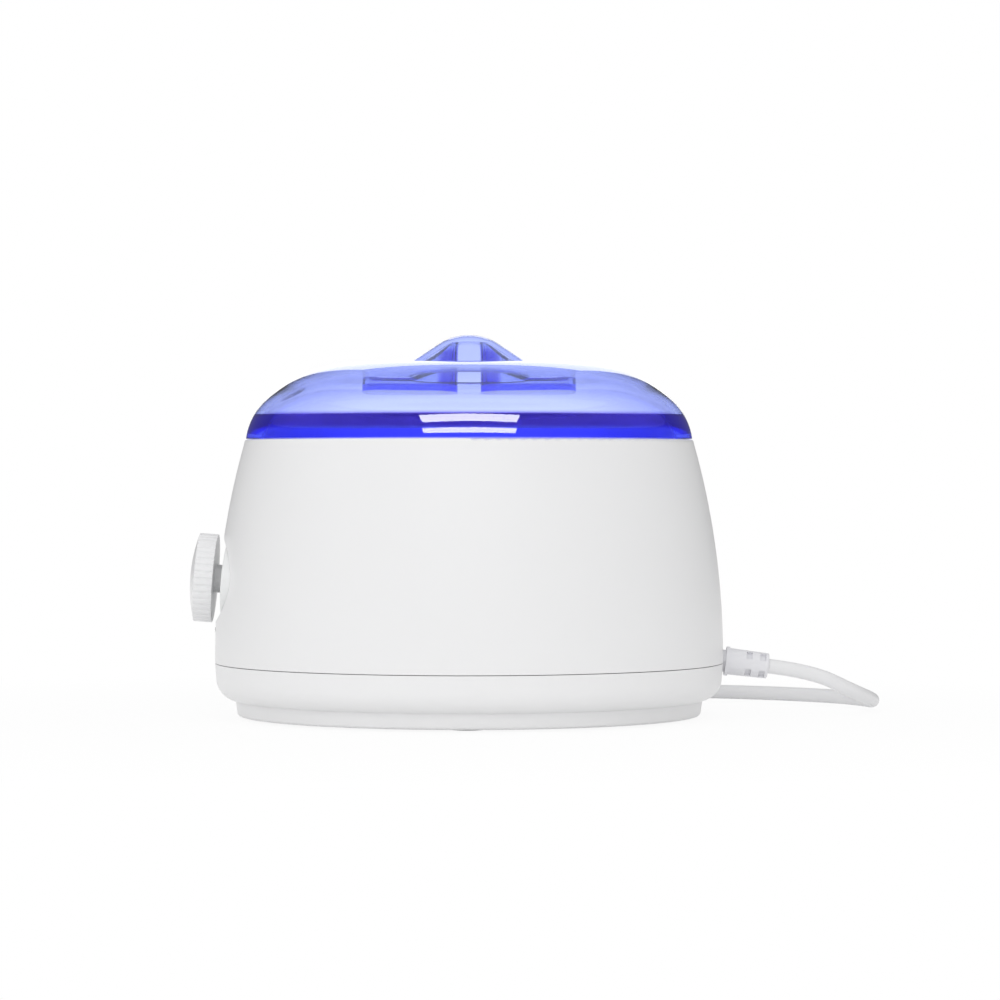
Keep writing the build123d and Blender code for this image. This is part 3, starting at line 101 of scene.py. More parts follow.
# A finish is one node tree, of a material, a lamp or the world
class Finish:
    def __init__(self, owner, place="Object"):
        self.owner = owner
        owner.use_nodes = True
        self.tree = owner.node_tree
        self.tree.nodes.clear()
        self.place = self.node("ShaderNodeTexCoord", {}, {}, place)

    # Every node is made here: its settings first, then its sockets, then the outputs that are wanted
    def node(self, kind, settings, sockets, output=0):
        made = self.tree.nodes.new(kind)
        for key, value in settings.items():
            setattr(made, key, value)
        for key, value in sockets.items():
            if isinstance(value, Signal):
                self.tree.links.new(value.socket, made.inputs[key])
            else:
                made.inputs[key].default_value = value
        if output is None:
            return None
        if isinstance(output, tuple):
            return [Signal(self, made.outputs[name]) for name in output]
        return Signal(self, made.outputs[output])

    def noise(self, scale, detail=2.0, place=None):
        sockets = {"Vector": place or self.place, "Scale": scale, "Detail": detail}
        return self.node("ShaderNodeTexNoise", {}, sockets)

    def between(self, value, low, high, toLow=0.0, toHigh=1.0):
        sockets = {"Value": value, 1: low, 2: high, 3: toLow, 4: toHigh}
        return self.node("ShaderNodeMapRange", {"clamp": True}, sockets)

    def blend(self, share, first, second):
        return self.node("ShaderNodeMix", {"data_type": "RGBA"}, {0: share, 6: first, 7: second}, 2)

    def bump(self, height, depth, strength=1.0):
        sockets = {"Height": height, "Distance": depth, "Strength": strength}
        return self.node("ShaderNodeBump", {}, sockets)

    def axes(self):
        return self.node("ShaderNodeSeparateXYZ", {}, {"Vector": self.place}, ("X", "Y", "Z"))

    def sine(self, value):
        return self.node("ShaderNodeMath", {"operation": "SINE"}, {0: value})

    def rays(self, *kinds):
        return self.node("ShaderNodeLightPath", {}, {}, kinds)

    def along(self, x, y, z):
        return self.node("ShaderNodeCombineXYZ", {}, {"X": x, "Y": y, "Z": z})

    def principled(self, **sockets):
        named = {key.replace("_", " "): value for key, value in sockets.items()}
        return self.node("ShaderNodeBsdfPrincipled", {}, named)

    def close(self, kind, **shaders):
        self.node(kind, {}, shaders, None)
        return self.owner


def newFinish(name):
    return Finish(bpy.data.materials.new(name))


def shade(colour, lift=1.0):
    return (*[min(1.0, channel * lift) for channel in colour], 1.0)


# Moulded plastic: a fine spark-eroded skin, a slow drift of tone and gloss, and faint flow marks
mouldedSkin = {
    "driftScale": 8.0,
    "flowScale": 40.0,
    "flowHeight": 0.6,  # share of the grain's height
    "darkest": 0.985,
    "glossDrift": 0.03,
    "glossGrain": 0.05,
    "coatRoughness": 0.1,
}


def mouldedPlastic(name, colour, roughness, grain=0.00001, coat=0.0, grainScale=1100.0):
    plan = mouldedSkin
    finish = newFinish(name)
    drift = finish.noise(plan["driftScale"], 3.0)
    skin = finish.noise(grainScale)
    flow = finish.noise(plan["flowScale"])
    paler = finish.between(drift, 0.35, 0.65)
    smooth, rough = roughness - plan["glossDrift"], roughness + plan["glossDrift"]
    surface = finish.principled(
        Base_Color=finish.blend(paler, shade(colour, plan["darkest"]), shade(colour)),
        Roughness=finish.between(drift, 0.3, 0.7, smooth, rough) + (skin - 0.5) * plan["glossGrain"],
        Normal=finish.bump(skin + flow * plan["flowHeight"], grain),
        IOR=1.5,
        Coat_Weight=coat,
        Coat_Roughness=plan["coatRoughness"],
    )
    return finish.close("ShaderNodeOutputMaterial", Surface=surface)


# Metal: lines along the way that the piece was spun, rolled or drawn, and a cloudy tarnish
metalSkin = {
    "spunLines": 2600.0,  # for each metre, as are the next three
    "rolledAcross": 3000.0,
    "rolledAlong": 60.0,
    "drawnLines": 900.0,
    "cloudScale": 45.0,
    "smoothest": 0.8,  # shares of the roughness
    "roughest": 1.25,
}


def workedMetal(name, colour, roughness, way, lines=0.00002, tarnish=0.12):
    plan = metalSkin
    finish = newFinish(name)
    x, y, z = finish.axes()
    ring = (x * x + y * y) ** 0.5
    spun, drawn = plan["spunLines"], plan["drawnLines"]
    along, across = plan["rolledAlong"], plan["rolledAcross"]
    ways = {
        "spun": (ring * spun, z * spun, 0.0),
        "rolled": (x * along, y * along, z * across),
        "drawn": (x * drawn, y * drawn, z * drawn),
    }
    scratches = finish.noise(1.0, 3.0, finish.along(*ways[way]))
    cloud = finish.between(finish.noise(plan["cloudScale"], 4.0), 0.3, 0.75)
    smooth, rough = roughness * plan["smoothest"], roughness * plan["roughest"]
    surface = finish.principled(
        Base_Color=finish.blend(cloud, shade(colour), shade(colour, 1 - tarnish)),
        Metallic=1.0,
        Roughness=finish.between(scratches, 0.3, 0.7, smooth, rough),
        Normal=finish.bump(scratches, lines),
    )
    return finish.close("ShaderNodeOutputMaterial", Surface=surface)


# Soft rubber and silicone: matt skin with a little dust
rubberSkin = {
    "grainScale": 1400.0,
    "grain": 0.00002,
    "dustScale": 60.0,
    "dustShare": 0.35,
    "dustLift": 1.12,
    "glossDrift": 0.06,
}


def softRubber(name, colour, roughness):
    plan = rubberSkin
    finish = newFinish(name)
    skin = finish.noise(plan["grainScale"], 3.0)
    dust = finish.noise(plan["dustScale"], 4.0)
    dusty = finish.between(dust, 0.5, 0.8, 0.0, plan["dustShare"])
    smooth, rough = roughness - plan["glossDrift"], roughness + plan["glossDrift"]
    surface = finish.principled(
        Base_Color=finish.blend(dusty, shade(colour), shade(colour, plan["dustLift"])),
        Roughness=finish.between(dust, 0.3, 0.8, smooth, rough),
        Normal=finish.bump(skin, plan["grain"]),
        IOR=1.45,
    )
    return finish.close("ShaderNodeOutputMaterial", Surface=surface)


# Wire sleeve: glass braid, two sets of threads that cross, with painted shade in the hollows between them
braid = {
    "threads": 7000.0,
    "height": 0.00003,
    "hollowPaintedShade": 0.82,
    "hollowRoughness": 0.08,  # more than on the threads
}


def braidedSleeve(name, colour, roughness):
    plan = braid
    finish = newFinish(name)
    x, y, z = finish.axes()
    weave = finish.sine((x + y + z) * plan["threads"]) * finish.sine((x - y + z) * plan["threads"])
    # Painted shade: the hollows of the weave are darker than the threads
    hollow = shade(colour, plan["hollowPaintedShade"])
    surface = finish.principled(
        Base_Color=finish.blend(finish.between(weave, -0.6, 0.8), hollow, shade(colour)),
        Roughness=finish.between(weave, -0.8, 0.8, roughness + plan["hollowRoughness"], roughness),
        Normal=finish.bump(weave, plan["height"]),
    )
    return finish.close("ShaderNodeOutputMaterial", Surface=surface)


# Mica: pressed flakes that glint, amber where it has been hot
micaSheet = {
    "flakeScale": 420.0,
    "flakeShare": 0.18,
    "heatScale": 30.0,
    "fresh": (0.50, 0.43, 0.32),
    "heated": (0.36, 0.26, 0.16),
    "smoothest": 0.30,
    "roughest": 0.45,
    "coat": 0.3,
}


def pressedMica(name, plan):
    finish = newFinish(name)
    place = {"Vector": finish.place, "Scale": plan["flakeScale"]}
    flakes = finish.node("ShaderNodeTexVoronoi", {}, place, "Color")
    heat = finish.noise(plan["heatScale"], 4.0)
    warm = finish.blend(finish.between(heat, 0.35, 0.7), shade(plan["fresh"]), shade(plan["heated"]))
    surface = finish.principled(
        Base_Color=finish.blend(plan["flakeShare"], warm, flakes),
        Roughness=finish.between(heat, 0.3, 0.7, plan["smoothest"], plan["roughest"]),
        Coat_Weight=plan["coat"],
    )
    return finish.close("ShaderNodeOutputMaterial", Surface=surface)


# The lid's clear blue plastic, tinted through its depth: pale in the thin dome; painted shade makes the
# surface deep blue on the thick rim, beside the web between the finger wells, and round the vent
lidGlass = {
    "skin": (0.97, 0.975, 1.0),
    # Painted shade on the surface: the thick rim deep blue, and paler at its foot
    "rimPaintedShade": (0.20, 0.13, 0.50),
    "rimFootPaintedShade": (0.40, 0.44, 0.88),
    # Painted shade on the web's walls beside the finger wells
    "webPaintedShade": (0.16, 0.09, 0.80),
    # Painted shade round the vent
    "ventPaintedShade": (0.06, 0.05, 0.30),
    "depthColour": (0.0, 0.2, 0.985),
    "depth": 150.0,  # absorption for each metre
    "shadowTint": (0.40, 0.40, 0.90),
    "paintedEdgeGlow": (0.004, 0.0, 0.06),  # painted glow that the thick rim gives off, standing in for light gathered there
    "roughness": 0.012,
    "hazeScale": 120.0,
    "hazeRoughness": 0.02,
    "flowScale": 14.0,
    "flowDepth": 0.00002,
    "flowStrength": 0.3,
    "rimFoot": 0.1026,
    "rimTop": 0.1075,
    "webAcross": (0.0041, 0.0118),
    "webHalfLength": 0.0125,
    "webHeight": (0.1182, 0.1318),
    "ventCentre": (-0.0643, 0.0, 0.11835),
    "ventReach": 0.0056,
    "softEdge": 0.0005,  # over which one tint turns into the next
    "footEdge": 0.0006,
    "webInnerEdge": 0.0003,
    "webOuterEdge": 0.003,
    "webEndEdge": 0.001,
}


# Where the painted shade beside the web's walls goes: a box on each side of the middle, with its own soft
# edges
def webShadeMask(finish, plan, x, y, z):
    near, far = plan["webAcross"]
    low, high = plan["webHeight"]
    length, end = plan["webHalfLength"], plan["webEndEdge"]
    aside = abs(x)
    web = finish.between(aside, near - plan["webInnerEdge"], near)
    web = web * finish.between(aside, far - plan["webOuterEdge"], far, 1.0, 0.0)
    web = web * finish.between(abs(y), length, length + end, 1.0, 0.0)
    web = web * finish.between(z, low - plan["softEdge"], low)
    return web * finish.between(z, high - plan["webOuterEdge"], high, 1.0, 0.0)


def clearPlastic(name, plan):
    finish = newFinish(name)
    haze = finish.noise(plan["hazeScale"], 3.0)
    flow = finish.noise(plan["flowScale"])
    x, y, z = finish.axes()
    edge, footEdge = plan["softEdge"], plan["footEdge"]
    rim = finish.between(z, plan["rimTop"] - edge, plan["rimTop"] + edge, 1.0, 0.0)
    foot = finish.between(z, plan["rimFoot"] - footEdge, plan["rimFoot"] + footEdge, 1.0, 0.0)
    ventSpot = {0: finish.place, 1: plan["ventCentre"]}
    ventAway = finish.node("ShaderNodeVectorMath", {"operation": "DISTANCE"}, ventSpot, "Value")
    vent = finish.between(ventAway, plan["ventReach"] - edge, plan["ventReach"], 1.0, 0.0)
    # Painted shade: the thick rim's surface is darker blue, paler towards its foot
    rimPaintedShade = finish.blend(foot, shade(plan["rimPaintedShade"]), shade(plan["rimFootPaintedShade"]))
    skin = finish.blend(rim, shade(plan["skin"]), rimPaintedShade)
    # Painted shade beside the web's walls
    skin = finish.blend(webShadeMask(finish, plan, x, y, z), skin, shade(plan["webPaintedShade"]))
    # Painted shade round the vent
    skin = finish.blend(vent, skin, shade(plan["ventPaintedShade"]))
    smooth, hazy = plan["roughness"], plan["roughness"] + plan["hazeRoughness"]
    glass = finish.principled(
        Base_Color=skin,
        Roughness=finish.between(haze, 0.45, 0.8, smooth, hazy),
        Transmission_Weight=1.0,
        IOR=1.5,
        # Painted glow: the thick rim gives off a little blue light of its own
        Emission_Color=finish.blend(rim, (0, 0, 0, 1), shade(plan["paintedEdgeGlow"])),
        Emission_Strength=1.0,
        Normal=finish.bump(flow, plan["flowDepth"], plan["flowStrength"]),
    )
    [lampRay] = finish.rays("Is Shadow Ray")
    through = finish.node("ShaderNodeBsdfTransparent", {}, {"Color": shade(plan["shadowTint"])})
    surface = finish.node("ShaderNodeMixShader", {}, {0: lampRay, 1: glass, 2: through})
    depth = {"Color": shade(plan["depthColour"]), "Density": plan["depth"]}
    volume = finish.node("ShaderNodeVolumeAbsorption", {}, depth)
    return finish.close("ShaderNodeOutputMaterial", Surface=surface, Volume=volume)


finishes = {
    "white_shell": mouldedPlastic("whiteShell", (0.88, 0.88, 0.885), 0.36),
    "white_panel": mouldedPlastic("whitePanel", (0.86, 0.87, 0.87), 0.28, 0.000006),
    "white_knob": mouldedPlastic("whiteKnob", (0.87, 0.87, 0.88), 0.32),
    "blue_clear": clearPlastic("clearBlue", lidGlass),
    "pot_metal": workedMetal("spunPot", (0.32, 0.32, 0.33), 0.32, "spun"),
    "well_metal": workedMetal("pressedWell", (0.62, 0.62, 0.64), 0.36, "spun"),
    "bail_wire": workedMetal("bailWire", (0.72, 0.72, 0.74), 0.12, "drawn", 0.000004, 0.05),
    "plated_steel": workedMetal("zincPlate", (0.56, 0.57, 0.60), 0.34, "drawn", 0.00001),
    "shield_sheet": workedMetal("galvanisedSheet", (0.58, 0.59, 0.60), 0.42, "rolled", 0.00002, 0.2),
    "silicone": softRubber("siliconeSeal", (0.78, 0.78, 0.78), 0.45),
    "foot_rubber": softRubber("footRubber", (0.55, 0.55, 0.56), 0.6),
    "mica": pressedMica("pressedMica", micaSheet),
    "band_steel": workedMetal("heatedBand", (0.34, 0.31, 0.29), 0.45, "rolled", 0.00002, 0.35),
    "phenolic": mouldedPlastic("darkThermoset", (0.035, 0.026, 0.022), 0.42, 0.00002),
    "copper": workedMetal("copperTube", (0.72, 0.36, 0.22), 0.28, "drawn", 0.000008, 0.25),
    "brass": workedMetal("turnedBrass", (0.70, 0.52, 0.22), 0.26, "drawn", 0.000008, 0.18),
    "lens_amber": mouldedPlastic("darkLens", (0.030, 0.022, 0.020), 0.14, 0.000002, 0.5),
    "lamp_glass": mouldedPlastic("neonGlass", (0.75, 0.52, 0.40), 0.12, 0.000002, 0.6),
    "holder_plastic": mouldedPlastic("naturalNylon", (0.70, 0.68, 0.60), 0.40),
    "block_plastic": mouldedPlastic("terminalNylon", (0.76, 0.76, 0.73), 0.38),
    "flex_white": mouldedPlastic("flexSheath", (0.86, 0.86, 0.87), 0.36, 0.00001, 0.0, 1500.0),
    "gland_white": mouldedPlastic("glandMoulding", (0.83, 0.83, 0.86), 0.42),
    "tie_white": mouldedPlastic("tieSheath", (0.76, 0.76, 0.77), 0.40),
    "plug_white": mouldedPlastic("plugMoulding", (0.84, 0.84, 0.85), 0.34),
    "pin_metal": workedMetal("nickelPins", (0.72, 0.70, 0.66), 0.20, "drawn", 0.000005, 0.08),
    "wire_silicone": braidedSleeve("wireBraid", (0.72, 0.72, 0.71), 0.62),
}
for part in frame["record"]["subparts"]:
    node = nodes[part["node"]]
    node.data.materials.clear()
    node.data.materials.append(finishes[part["material_slot"]])
print("finishes made:", len(finishes))

# The mains lead: one line from the sleeve, down to the table, round behind the body,
# two layers of turns, and off to the plug
leadPlan = {
    "radius": 0.0026,
    "length": 1.345,
    "route": [
        (0.106671, 0.0, 0.018014),
        (0.122552, 0.0, 0.016064),
        (0.138, 0.007, 0.0085),
        (0.149, 0.027, 0.0035),
        (0.142, 0.055, 0.0035),
        (0.116, 0.080, 0.0035),
        (0.086, 0.094, 0.0035),
        (0.056, 0.100, 0.0035),
        (0.0252, 0.100, 0.0035),
    ],
    "coilCentre": (0.020, 0.1388),
    "outerTurn": 0.0388,
    "pitch": 0.0058,
    "climbInset": 0.0008,
    "halfTurnsIn": 6,
    "halfTurnsOut": 5,
    "low": 0.0035,
    "pointsPerHalfTurn": 8,
    "tail": [
        (0.0148, 0.1029, 0.0093),
        (0.0018, 0.1029, 0.0093),
        (-0.0112, 0.1047, 0.00695),
        (-0.0242, 0.1089, 0.00695),
    ],
    "sectionSteps": 6,
    "lengthSteps": 6,
    "order": 3,
}


def coilPoints(plan):
    halfPitch = plan["pitch"] / 2
    heart = plan["outerTurn"] - halfPitch * plan["halfTurnsIn"]
    radii = [plan["outerTurn"] - halfPitch * k for k in range(plan["halfTurnsIn"])]
    radii += [heart - plan["climbInset"]] * 2
    radii += [heart + halfPitch * k for k in range(1, plan["halfTurnsOut"] + 1)]
    count = plan["pointsPerHalfTurn"]
    outset = 1 / cos(pi / (2 * count))  # the line runs inside its points
    centreX, centreY = plan["coilCentre"]
    points = []
    for half in range(len(radii) - 1):
        for step in range(count):
            share = step / count
            radius = (radii[half] + (radii[half + 1] - radii[half]) * share) * outset
            angle = -pi / 2 - pi * (half + share)
            layer = 0 if half < plan["halfTurnsIn"] else 1
            if half == plan["halfTurnsIn"]:
                layer = share * share * (3 - 2 * share)
            height = plan["low"] + plan["pitch"] * layer
            points.append((centreX + radius * cos(angle), centreY + radius * sin(angle), height))
    last = radii[-1]
    points.append((centreX, centreY - last, plan["low"] + plan["pitch"]))
    return points


def nurbsLine(name, points, plan, finish):
    curve = bpy.data.curves.new(name, "CURVE")
    curve.dimensions = "3D"
    curve.bevel_depth = plan["radius"]
    curve.bevel_resolution = plan["sectionSteps"]
    curve.resolution_u = plan["lengthSteps"]
    curve.use_fill_caps = True
    spline = curve.splines.new("NURBS")
    spline.points.add(len(points) - 1)
    for spot, point in zip(spline.points, points):
        spot.co = (*point, 1.0)
    spline.order_u = plan["order"]
    spline.use_endpoint_u = True
    line = bpy.data.objects.new(name, curve)
    scene.collection.objects.link(line)
    curve.materials.append(finish)
    return line


leadPoints = leadPlan["route"] + coilPoints(leadPlan) + leadPlan["tail"]
mainsLead = nurbsLine("mainsLead", leadPoints, leadPlan, finishes["flex_white"])
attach(mainsLead, "root")
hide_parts("flex_lead", "flex_coil", "flex_tail")
print("lead laid:", len(leadPoints), "points")


# The lid: a spun dome with a thick band inside its rim, a hollow grip and two finger wells
lidShape = {
    "rim": 0.07948,
    "low": 0.0992,
    "height": 0.02673,
    "wall": 0.0022,
    "band": 0.0049,
    # The dome's outline, as shares of the rim and of the height
    "outline": [(1.0, 0.0), (0.967, 0.300), (0.835, 0.700), (0.663, 0.943), (0.478, 1.0)],
    "spanSteps": 10,
    "topSteps": 6,
    "gripFoot": 0.0214,
    "gripRise": 0.0100,
    "gripCrown": 0.0095,
    "gripCrownDrop": 0.0024,
    "gripCrownMiddle": (0.55, 0.28),  # shares of the crown's half width and drop
    "gripStraight": 0.013,
    "gripFlankSteps": 6,
    "gripCrownSteps": 8,
    "gripEndSteps": 20,
    "fin": 0.0126,
    "wellReach": 0.036,
    "wellHalf": 0.0095,
    "wellCorner": 0.0062,
    "wellCornerSteps": 16,
    "wellDepth": 0.0055,
    "ventRadius": 0.004,
    "ventLength": 0.02,
    "ventReach": 0.0643,
    "ventRise": 0.01915,
    "ventTilt": 45.0,
    "ventSteps": 48,
    "around": 160,
    "cutBelow": 0.001,  # how far a cut runs past the face that it opens
    "cutAbove": 0.03,
    "sharpAngle": 28,
}


def meshPiece(name, mesh):
    bmesh.ops.recalc_face_normals(mesh, faces=mesh.faces)
    data = bpy.data.meshes.new(name)
    mesh.to_mesh(data)
    mesh.free()
    made = bpy.data.objects.new(name, data)
    scene.collection.objects.link(made)
    return made


# Smooth line through points in the half plane: a curved span for each pair
def smoothLine(points, first, last, steps):
    spots = [Vector((x, 0, z)) for x, z in points]
    slopes = [Vector((first[0], 0, first[1])).normalized()]
    for before, spot, after in zip(spots, spots[1:], spots[2:]):
        back, ahead = spot - before, after - spot
        share = ahead.length / (back.length + ahead.length)
        slopes.append((back.normalized() * share + ahead.normalized() * (1 - share)).normalized())
    slopes.append(Vector((last[0], 0, last[1])).normalized())
    line = []
    for k in range(len(spots) - 1):
        reach = (spots[k + 1] - spots[k]).length
        for step in range(steps):
            t = step / steps
            spot = spots[k] * (2 * t**3 - 3 * t**2 + 1) + spots[k + 1] * (3 * t**2 - 2 * t**3)
            spot += (slopes[k] * (t**3 - 2 * t**2 + t) + slopes[k + 1] * (t**3 - t**2)) * reach
            line.append((spot.x, spot.z))
    return line + [(spots[-1].x, spots[-1].z)]


def domeLine(shape, inset):
    across, rise = shape["rim"] - inset, shape["height"] - inset
    points = [(across * u, shape["low"] + rise * v) for u, v in shape["outline"]]
    line = smoothLine(points, (-0.1, 1), (-1, 0), shape["spanSteps"])
    edge, steps = line[-1], shape["topSteps"]
    return line + [(edge[0] * k / steps, edge[1]) for k in range(steps - 1, 0, -1)]


# Closed solid from a line turned about Z
def spunSolid(name, line, count):
    mesh = bmesh.new()
    rings = []
    for x, z in line:
        turns = [2 * pi * k / count for k in range(count)]
        rings.append([mesh.verts.new((x * cos(turn), x * sin(turn), z)) for turn in turns])
    bridgeRings(mesh, rings)
    top = mesh.verts.new((0, 0, line[-1][1]))
    for k in range(count):
        mesh.faces.new((rings[-1][k], rings[-1][(k + 1) % count], top))
    mesh.faces.new(list(reversed(rings[0])))
    return meshPiece(name, mesh)


def bridgeRings(mesh, rings):
    count = len(rings[0])
    for lower, upper in zip(rings, rings[1:]):
        for k in range(count):
            after = (k + 1) % count
            mesh.faces.new((lower[k], lower[after], upper[after], upper[k]))


# Half section of the grip: straight flank, then a round top through three points
def gripLine(shape, inset):
    foot, crown = shape["gripFoot"], shape["gripCrown"]
    rise = shape["gripRise"] - shape["gripCrownDrop"]
    lidTop = shape["low"] + shape["height"]
    slope = hypot(foot - crown, rise)
    shift, sink = inset * rise / slope, inset * (foot - crown) / slope
    start = (foot - shift, lidTop - sink)
    edge = (crown - shift, lidTop + rise - sink)
    summit = lidTop + shape["gripRise"] - inset
    middleAcross, middleDrop = shape["gripCrownMiddle"]
    middle = (edge[0] * middleAcross, summit - (summit - edge[1]) * middleDrop)
    line = [(start[0], start[1] - shape["wall"]), start]
    steps, run, climb = shape["gripFlankSteps"], edge[0] - start[0], edge[1] - start[1]
    line += [(start[0] + run * k / steps, start[1] + climb * k / steps) for k in range(1, steps + 1)]
    centre = circleCentre(edge, middle, (0.0, summit))
    radius = hypot(edge[0] - centre[0], edge[1] - centre[1])
    begin = atan2(edge[1] - centre[1], edge[0] - centre[0])
    end = atan2(summit - centre[1], -centre[0])
    steps = shape["gripCrownSteps"]
    angles = [begin + (end - begin) * k / steps for k in range(1, steps + 1)]
    return line + [(centre[0] + radius * cos(a), centre[1] + radius * sin(a)) for a in angles]


# Centre of the circle through three points
def circleCentre(a, b, c):
    d = 2 * (a[0] * (b[1] - c[1]) + b[0] * (c[1] - a[1]) + c[0] * (a[1] - b[1]))
    squares = [p[0] ** 2 + p[1] ** 2 for p in (a, b, c)]
    x = (squares[0] * (b[1] - c[1]) + squares[1] * (c[1] - a[1]) + squares[2] * (a[1] - b[1])) / d
    y = (squares[0] * (c[0] - b[0]) + squares[1] * (a[0] - c[0]) + squares[2] * (b[0] - a[0])) / d
    return (x, y)


# The grip's section run along Y, with a half turn of it at each end
def gripSolid(name, shape, inset):
    mesh = bmesh.new()
    half, steps, smallest = shape["gripStraight"], shape["gripEndSteps"], 0.00001
    rings = []
    for radius, z in gripLine(shape, inset):
        ring = []
        for end, begin in ((half, 0.0), (-half, pi)):
            for k in range(steps + 1):
                angle = begin + pi * k / steps
                x, y = max(radius, smallest) * cos(angle), end + radius * sin(angle)
                ring.append(mesh.verts.new((x, y, z)))
        rings.append(ring)
    bridgeRings(mesh, rings)
    mesh.faces.new(list(reversed(rings[0])))
    mesh.faces.new(rings[-1])
    bmesh.ops.remove_doubles(mesh, verts=mesh.verts, dist=5 * smallest)
    return meshPiece(name, mesh)


def roundedBlock(name, middle, half, corner, steps, low, high):
    mesh = bmesh.new()
    rings = []
    for z in (low, high):
        ring = []
        for sideX, sideY, begin in ((1, 1, 0.0), (-1, 1, pi / 2), (-1, -1, pi), (1, -1, 1.5 * pi)):
            for k in range(steps + 1):
                angle = begin + pi / 2 * k / steps
                x = middle + sideX * (half[0] - corner) + corner * cos(angle)
                y = sideY * (half[1] - corner) + corner * sin(angle)
                ring.append(mesh.verts.new((x, y, z)))
        rings.append(ring)
    bridgeRings(mesh, rings)
    mesh.faces.new(list(reversed(rings[0])))
    mesh.faces.new(rings[1])
    return meshPiece(name, mesh)


def roundRod(name, at, direction, radius, length, steps):
    mesh = bmesh.new()
    bmesh.ops.create_cone(mesh, cap_ends=True, segments=steps, radius1=radius, radius2=radius, depth=length)
    turn = Vector(direction).to_track_quat("Z", "Y").to_matrix().to_4x4()
    bmesh.ops.transform(mesh, matrix=Matrix.Translation(at) @ turn, verts=mesh.verts)
    return meshPiece(name, mesh)


# Joins the tool to the target, or cuts it away
def combine(target, tool, operation):
    change = target.modifiers.new("combine", "BOOLEAN")
    change.operation = operation
    change.solver = "EXACT"
    change.object = tool
    bpy.context.view_layer.update()
    evaluated = target.evaluated_get(bpy.context.evaluated_depsgraph_get())
    data = bpy.data.meshes.new_from_object(evaluated)
    target.modifiers.clear()
    target.data = data
    bpy.data.objects.remove(tool)


def makeLid(shape):
    count, wall = shape["around"], shape["wall"]
    lidTop = shape["low"] + shape["height"]
    bandInner = shape["rim"] - shape["band"]
    dome = spunSolid("clearLid", domeLine(shape, 0.0), count)
    combine(dome, gripSolid("grip", shape, 0.0), "UNION")
    inner = domeLine(shape, wall)
    edgeAt = next(k for k, (x, z) in enumerate(inner) if x < bandInner)
    (farX, farZ), (nearX, nearZ) = inner[edgeAt - 1], inner[edgeAt]
    edgeZ = farZ + (nearZ - farZ) * (farX - bandInner) / (farX - nearX)
    inner = [(bandInner, shape["low"] - shape["cutBelow"]), (bandInner, edgeZ)] + inner[edgeAt:]
    hollow = spunSolid("hollow", inner, count)
    combine(hollow, gripSolid("hollowGrip", shape, wall), "UNION")
    reach, fin = shape["wellReach"], shape["fin"] / 2
    middle, half = (reach + fin) / 2, ((reach - fin) / 2, shape["wellHalf"])
    walled = (half[0] + wall, half[1] + wall)
    corner, steps = shape["wellCorner"], shape["wellCornerSteps"]
    floor, above = lidTop - shape["wellDepth"], lidTop + shape["cutAbove"]
    for side in (-middle, middle):
        block = roundedBlock("wellWalls", side, walled, corner + wall, steps, floor - wall, above)
        combine(hollow, block, "DIFFERENCE")
    combine(dome, hollow, "DIFFERENCE")
    for side in (-middle, middle):
        combine(dome, roundedBlock("well", side, half, corner, steps, floor, above), "DIFFERENCE")
    tilt = radians(shape["ventTilt"])
    ventAt = (-shape["ventReach"], 0, shape["low"] + shape["ventRise"])
    ventWay = (-sin(tilt), 0, cos(tilt))
    vent = roundRod("vent", ventAt, ventWay, shape["ventRadius"], shape["ventLength"], shape["ventSteps"])
    combine(dome, vent, "DIFFERENCE")
    dome.data.shade_smooth()
    dome.data.set_sharp_from_angle(angle=radians(shape["sharpAngle"]))
    facing = dome.modifiers.new("facing", "WEIGHTED_NORMAL")
    facing.keep_sharp = True
    dome.data.materials.clear()
    dome.data.materials.append(finishes["blue_clear"])
    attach(dome, "lid")
    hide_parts("lid")
    return dome


clearLid = makeLid(lidShape)
print("lid made:", len(clearLid.data.polygons), "faces")

# Floor and background: white where they are seen, so that only a faint shadow shows round the foot
stagePlan = {
    "floorHalf": 6.0,
    "floorColour": (0.93, 0.93, 0.93),
    "nearGlow": 0.92,  # share of plain white that the camera sees under the object
    "nearReach": 0.13,  # out to this radius, then more and more, and all of it at the next
    "farReach": 0.30,
    "ambient": 0.68,
    "backdrop": 1.35,  # level of the background as seen through the clear lid
    "horizonGloss": 0.12,  # what shiny surfaces see at the horizon, and overhead
    "overheadGloss": 0.2,
    "glossRise": (0.1, 0.7),  # heights in the sky between which the one turns into the other
}


def makeFloor(plan):
    half = plan["floorHalf"]
    corners = [(-half, -half, 0), (half, -half, 0), (half, half, 0), (-half, half, 0)]
    mesh = bpy.data.meshes.new("floor")
    mesh.from_pydata(corners, [], [(0, 1, 2, 3)])
    floor = bpy.data.objects.new("floor", mesh)
    scene.collection.objects.link(floor)
    finish = newFinish("paleFloor")
    paper = finish.node("ShaderNodeBsdfDiffuse", {}, {"Color": shade(plan["floorColour"])})
    glow = finish.node("ShaderNodeEmission", {}, {"Color": (1, 1, 1, 1), "Strength": 1.0})
    camera, glossy, through = finish.rays("Is Camera Ray", "Is Glossy Ray", "Is Transmission Ray")
    seen = finish.between(camera + glossy + through, 0.0, 1.0)
    x, y, z = finish.axes()
    away = (x * x + y * y) ** 0.5
    share = finish.between(away, plan["nearReach"], plan["farReach"], plan["nearGlow"], 1.0)
    surface = finish.node("ShaderNodeMixShader", {}, {0: seen * share, 1: paper, 2: glow})
    mesh.materials.append(finish.close("ShaderNodeOutputMaterial", Surface=surface))


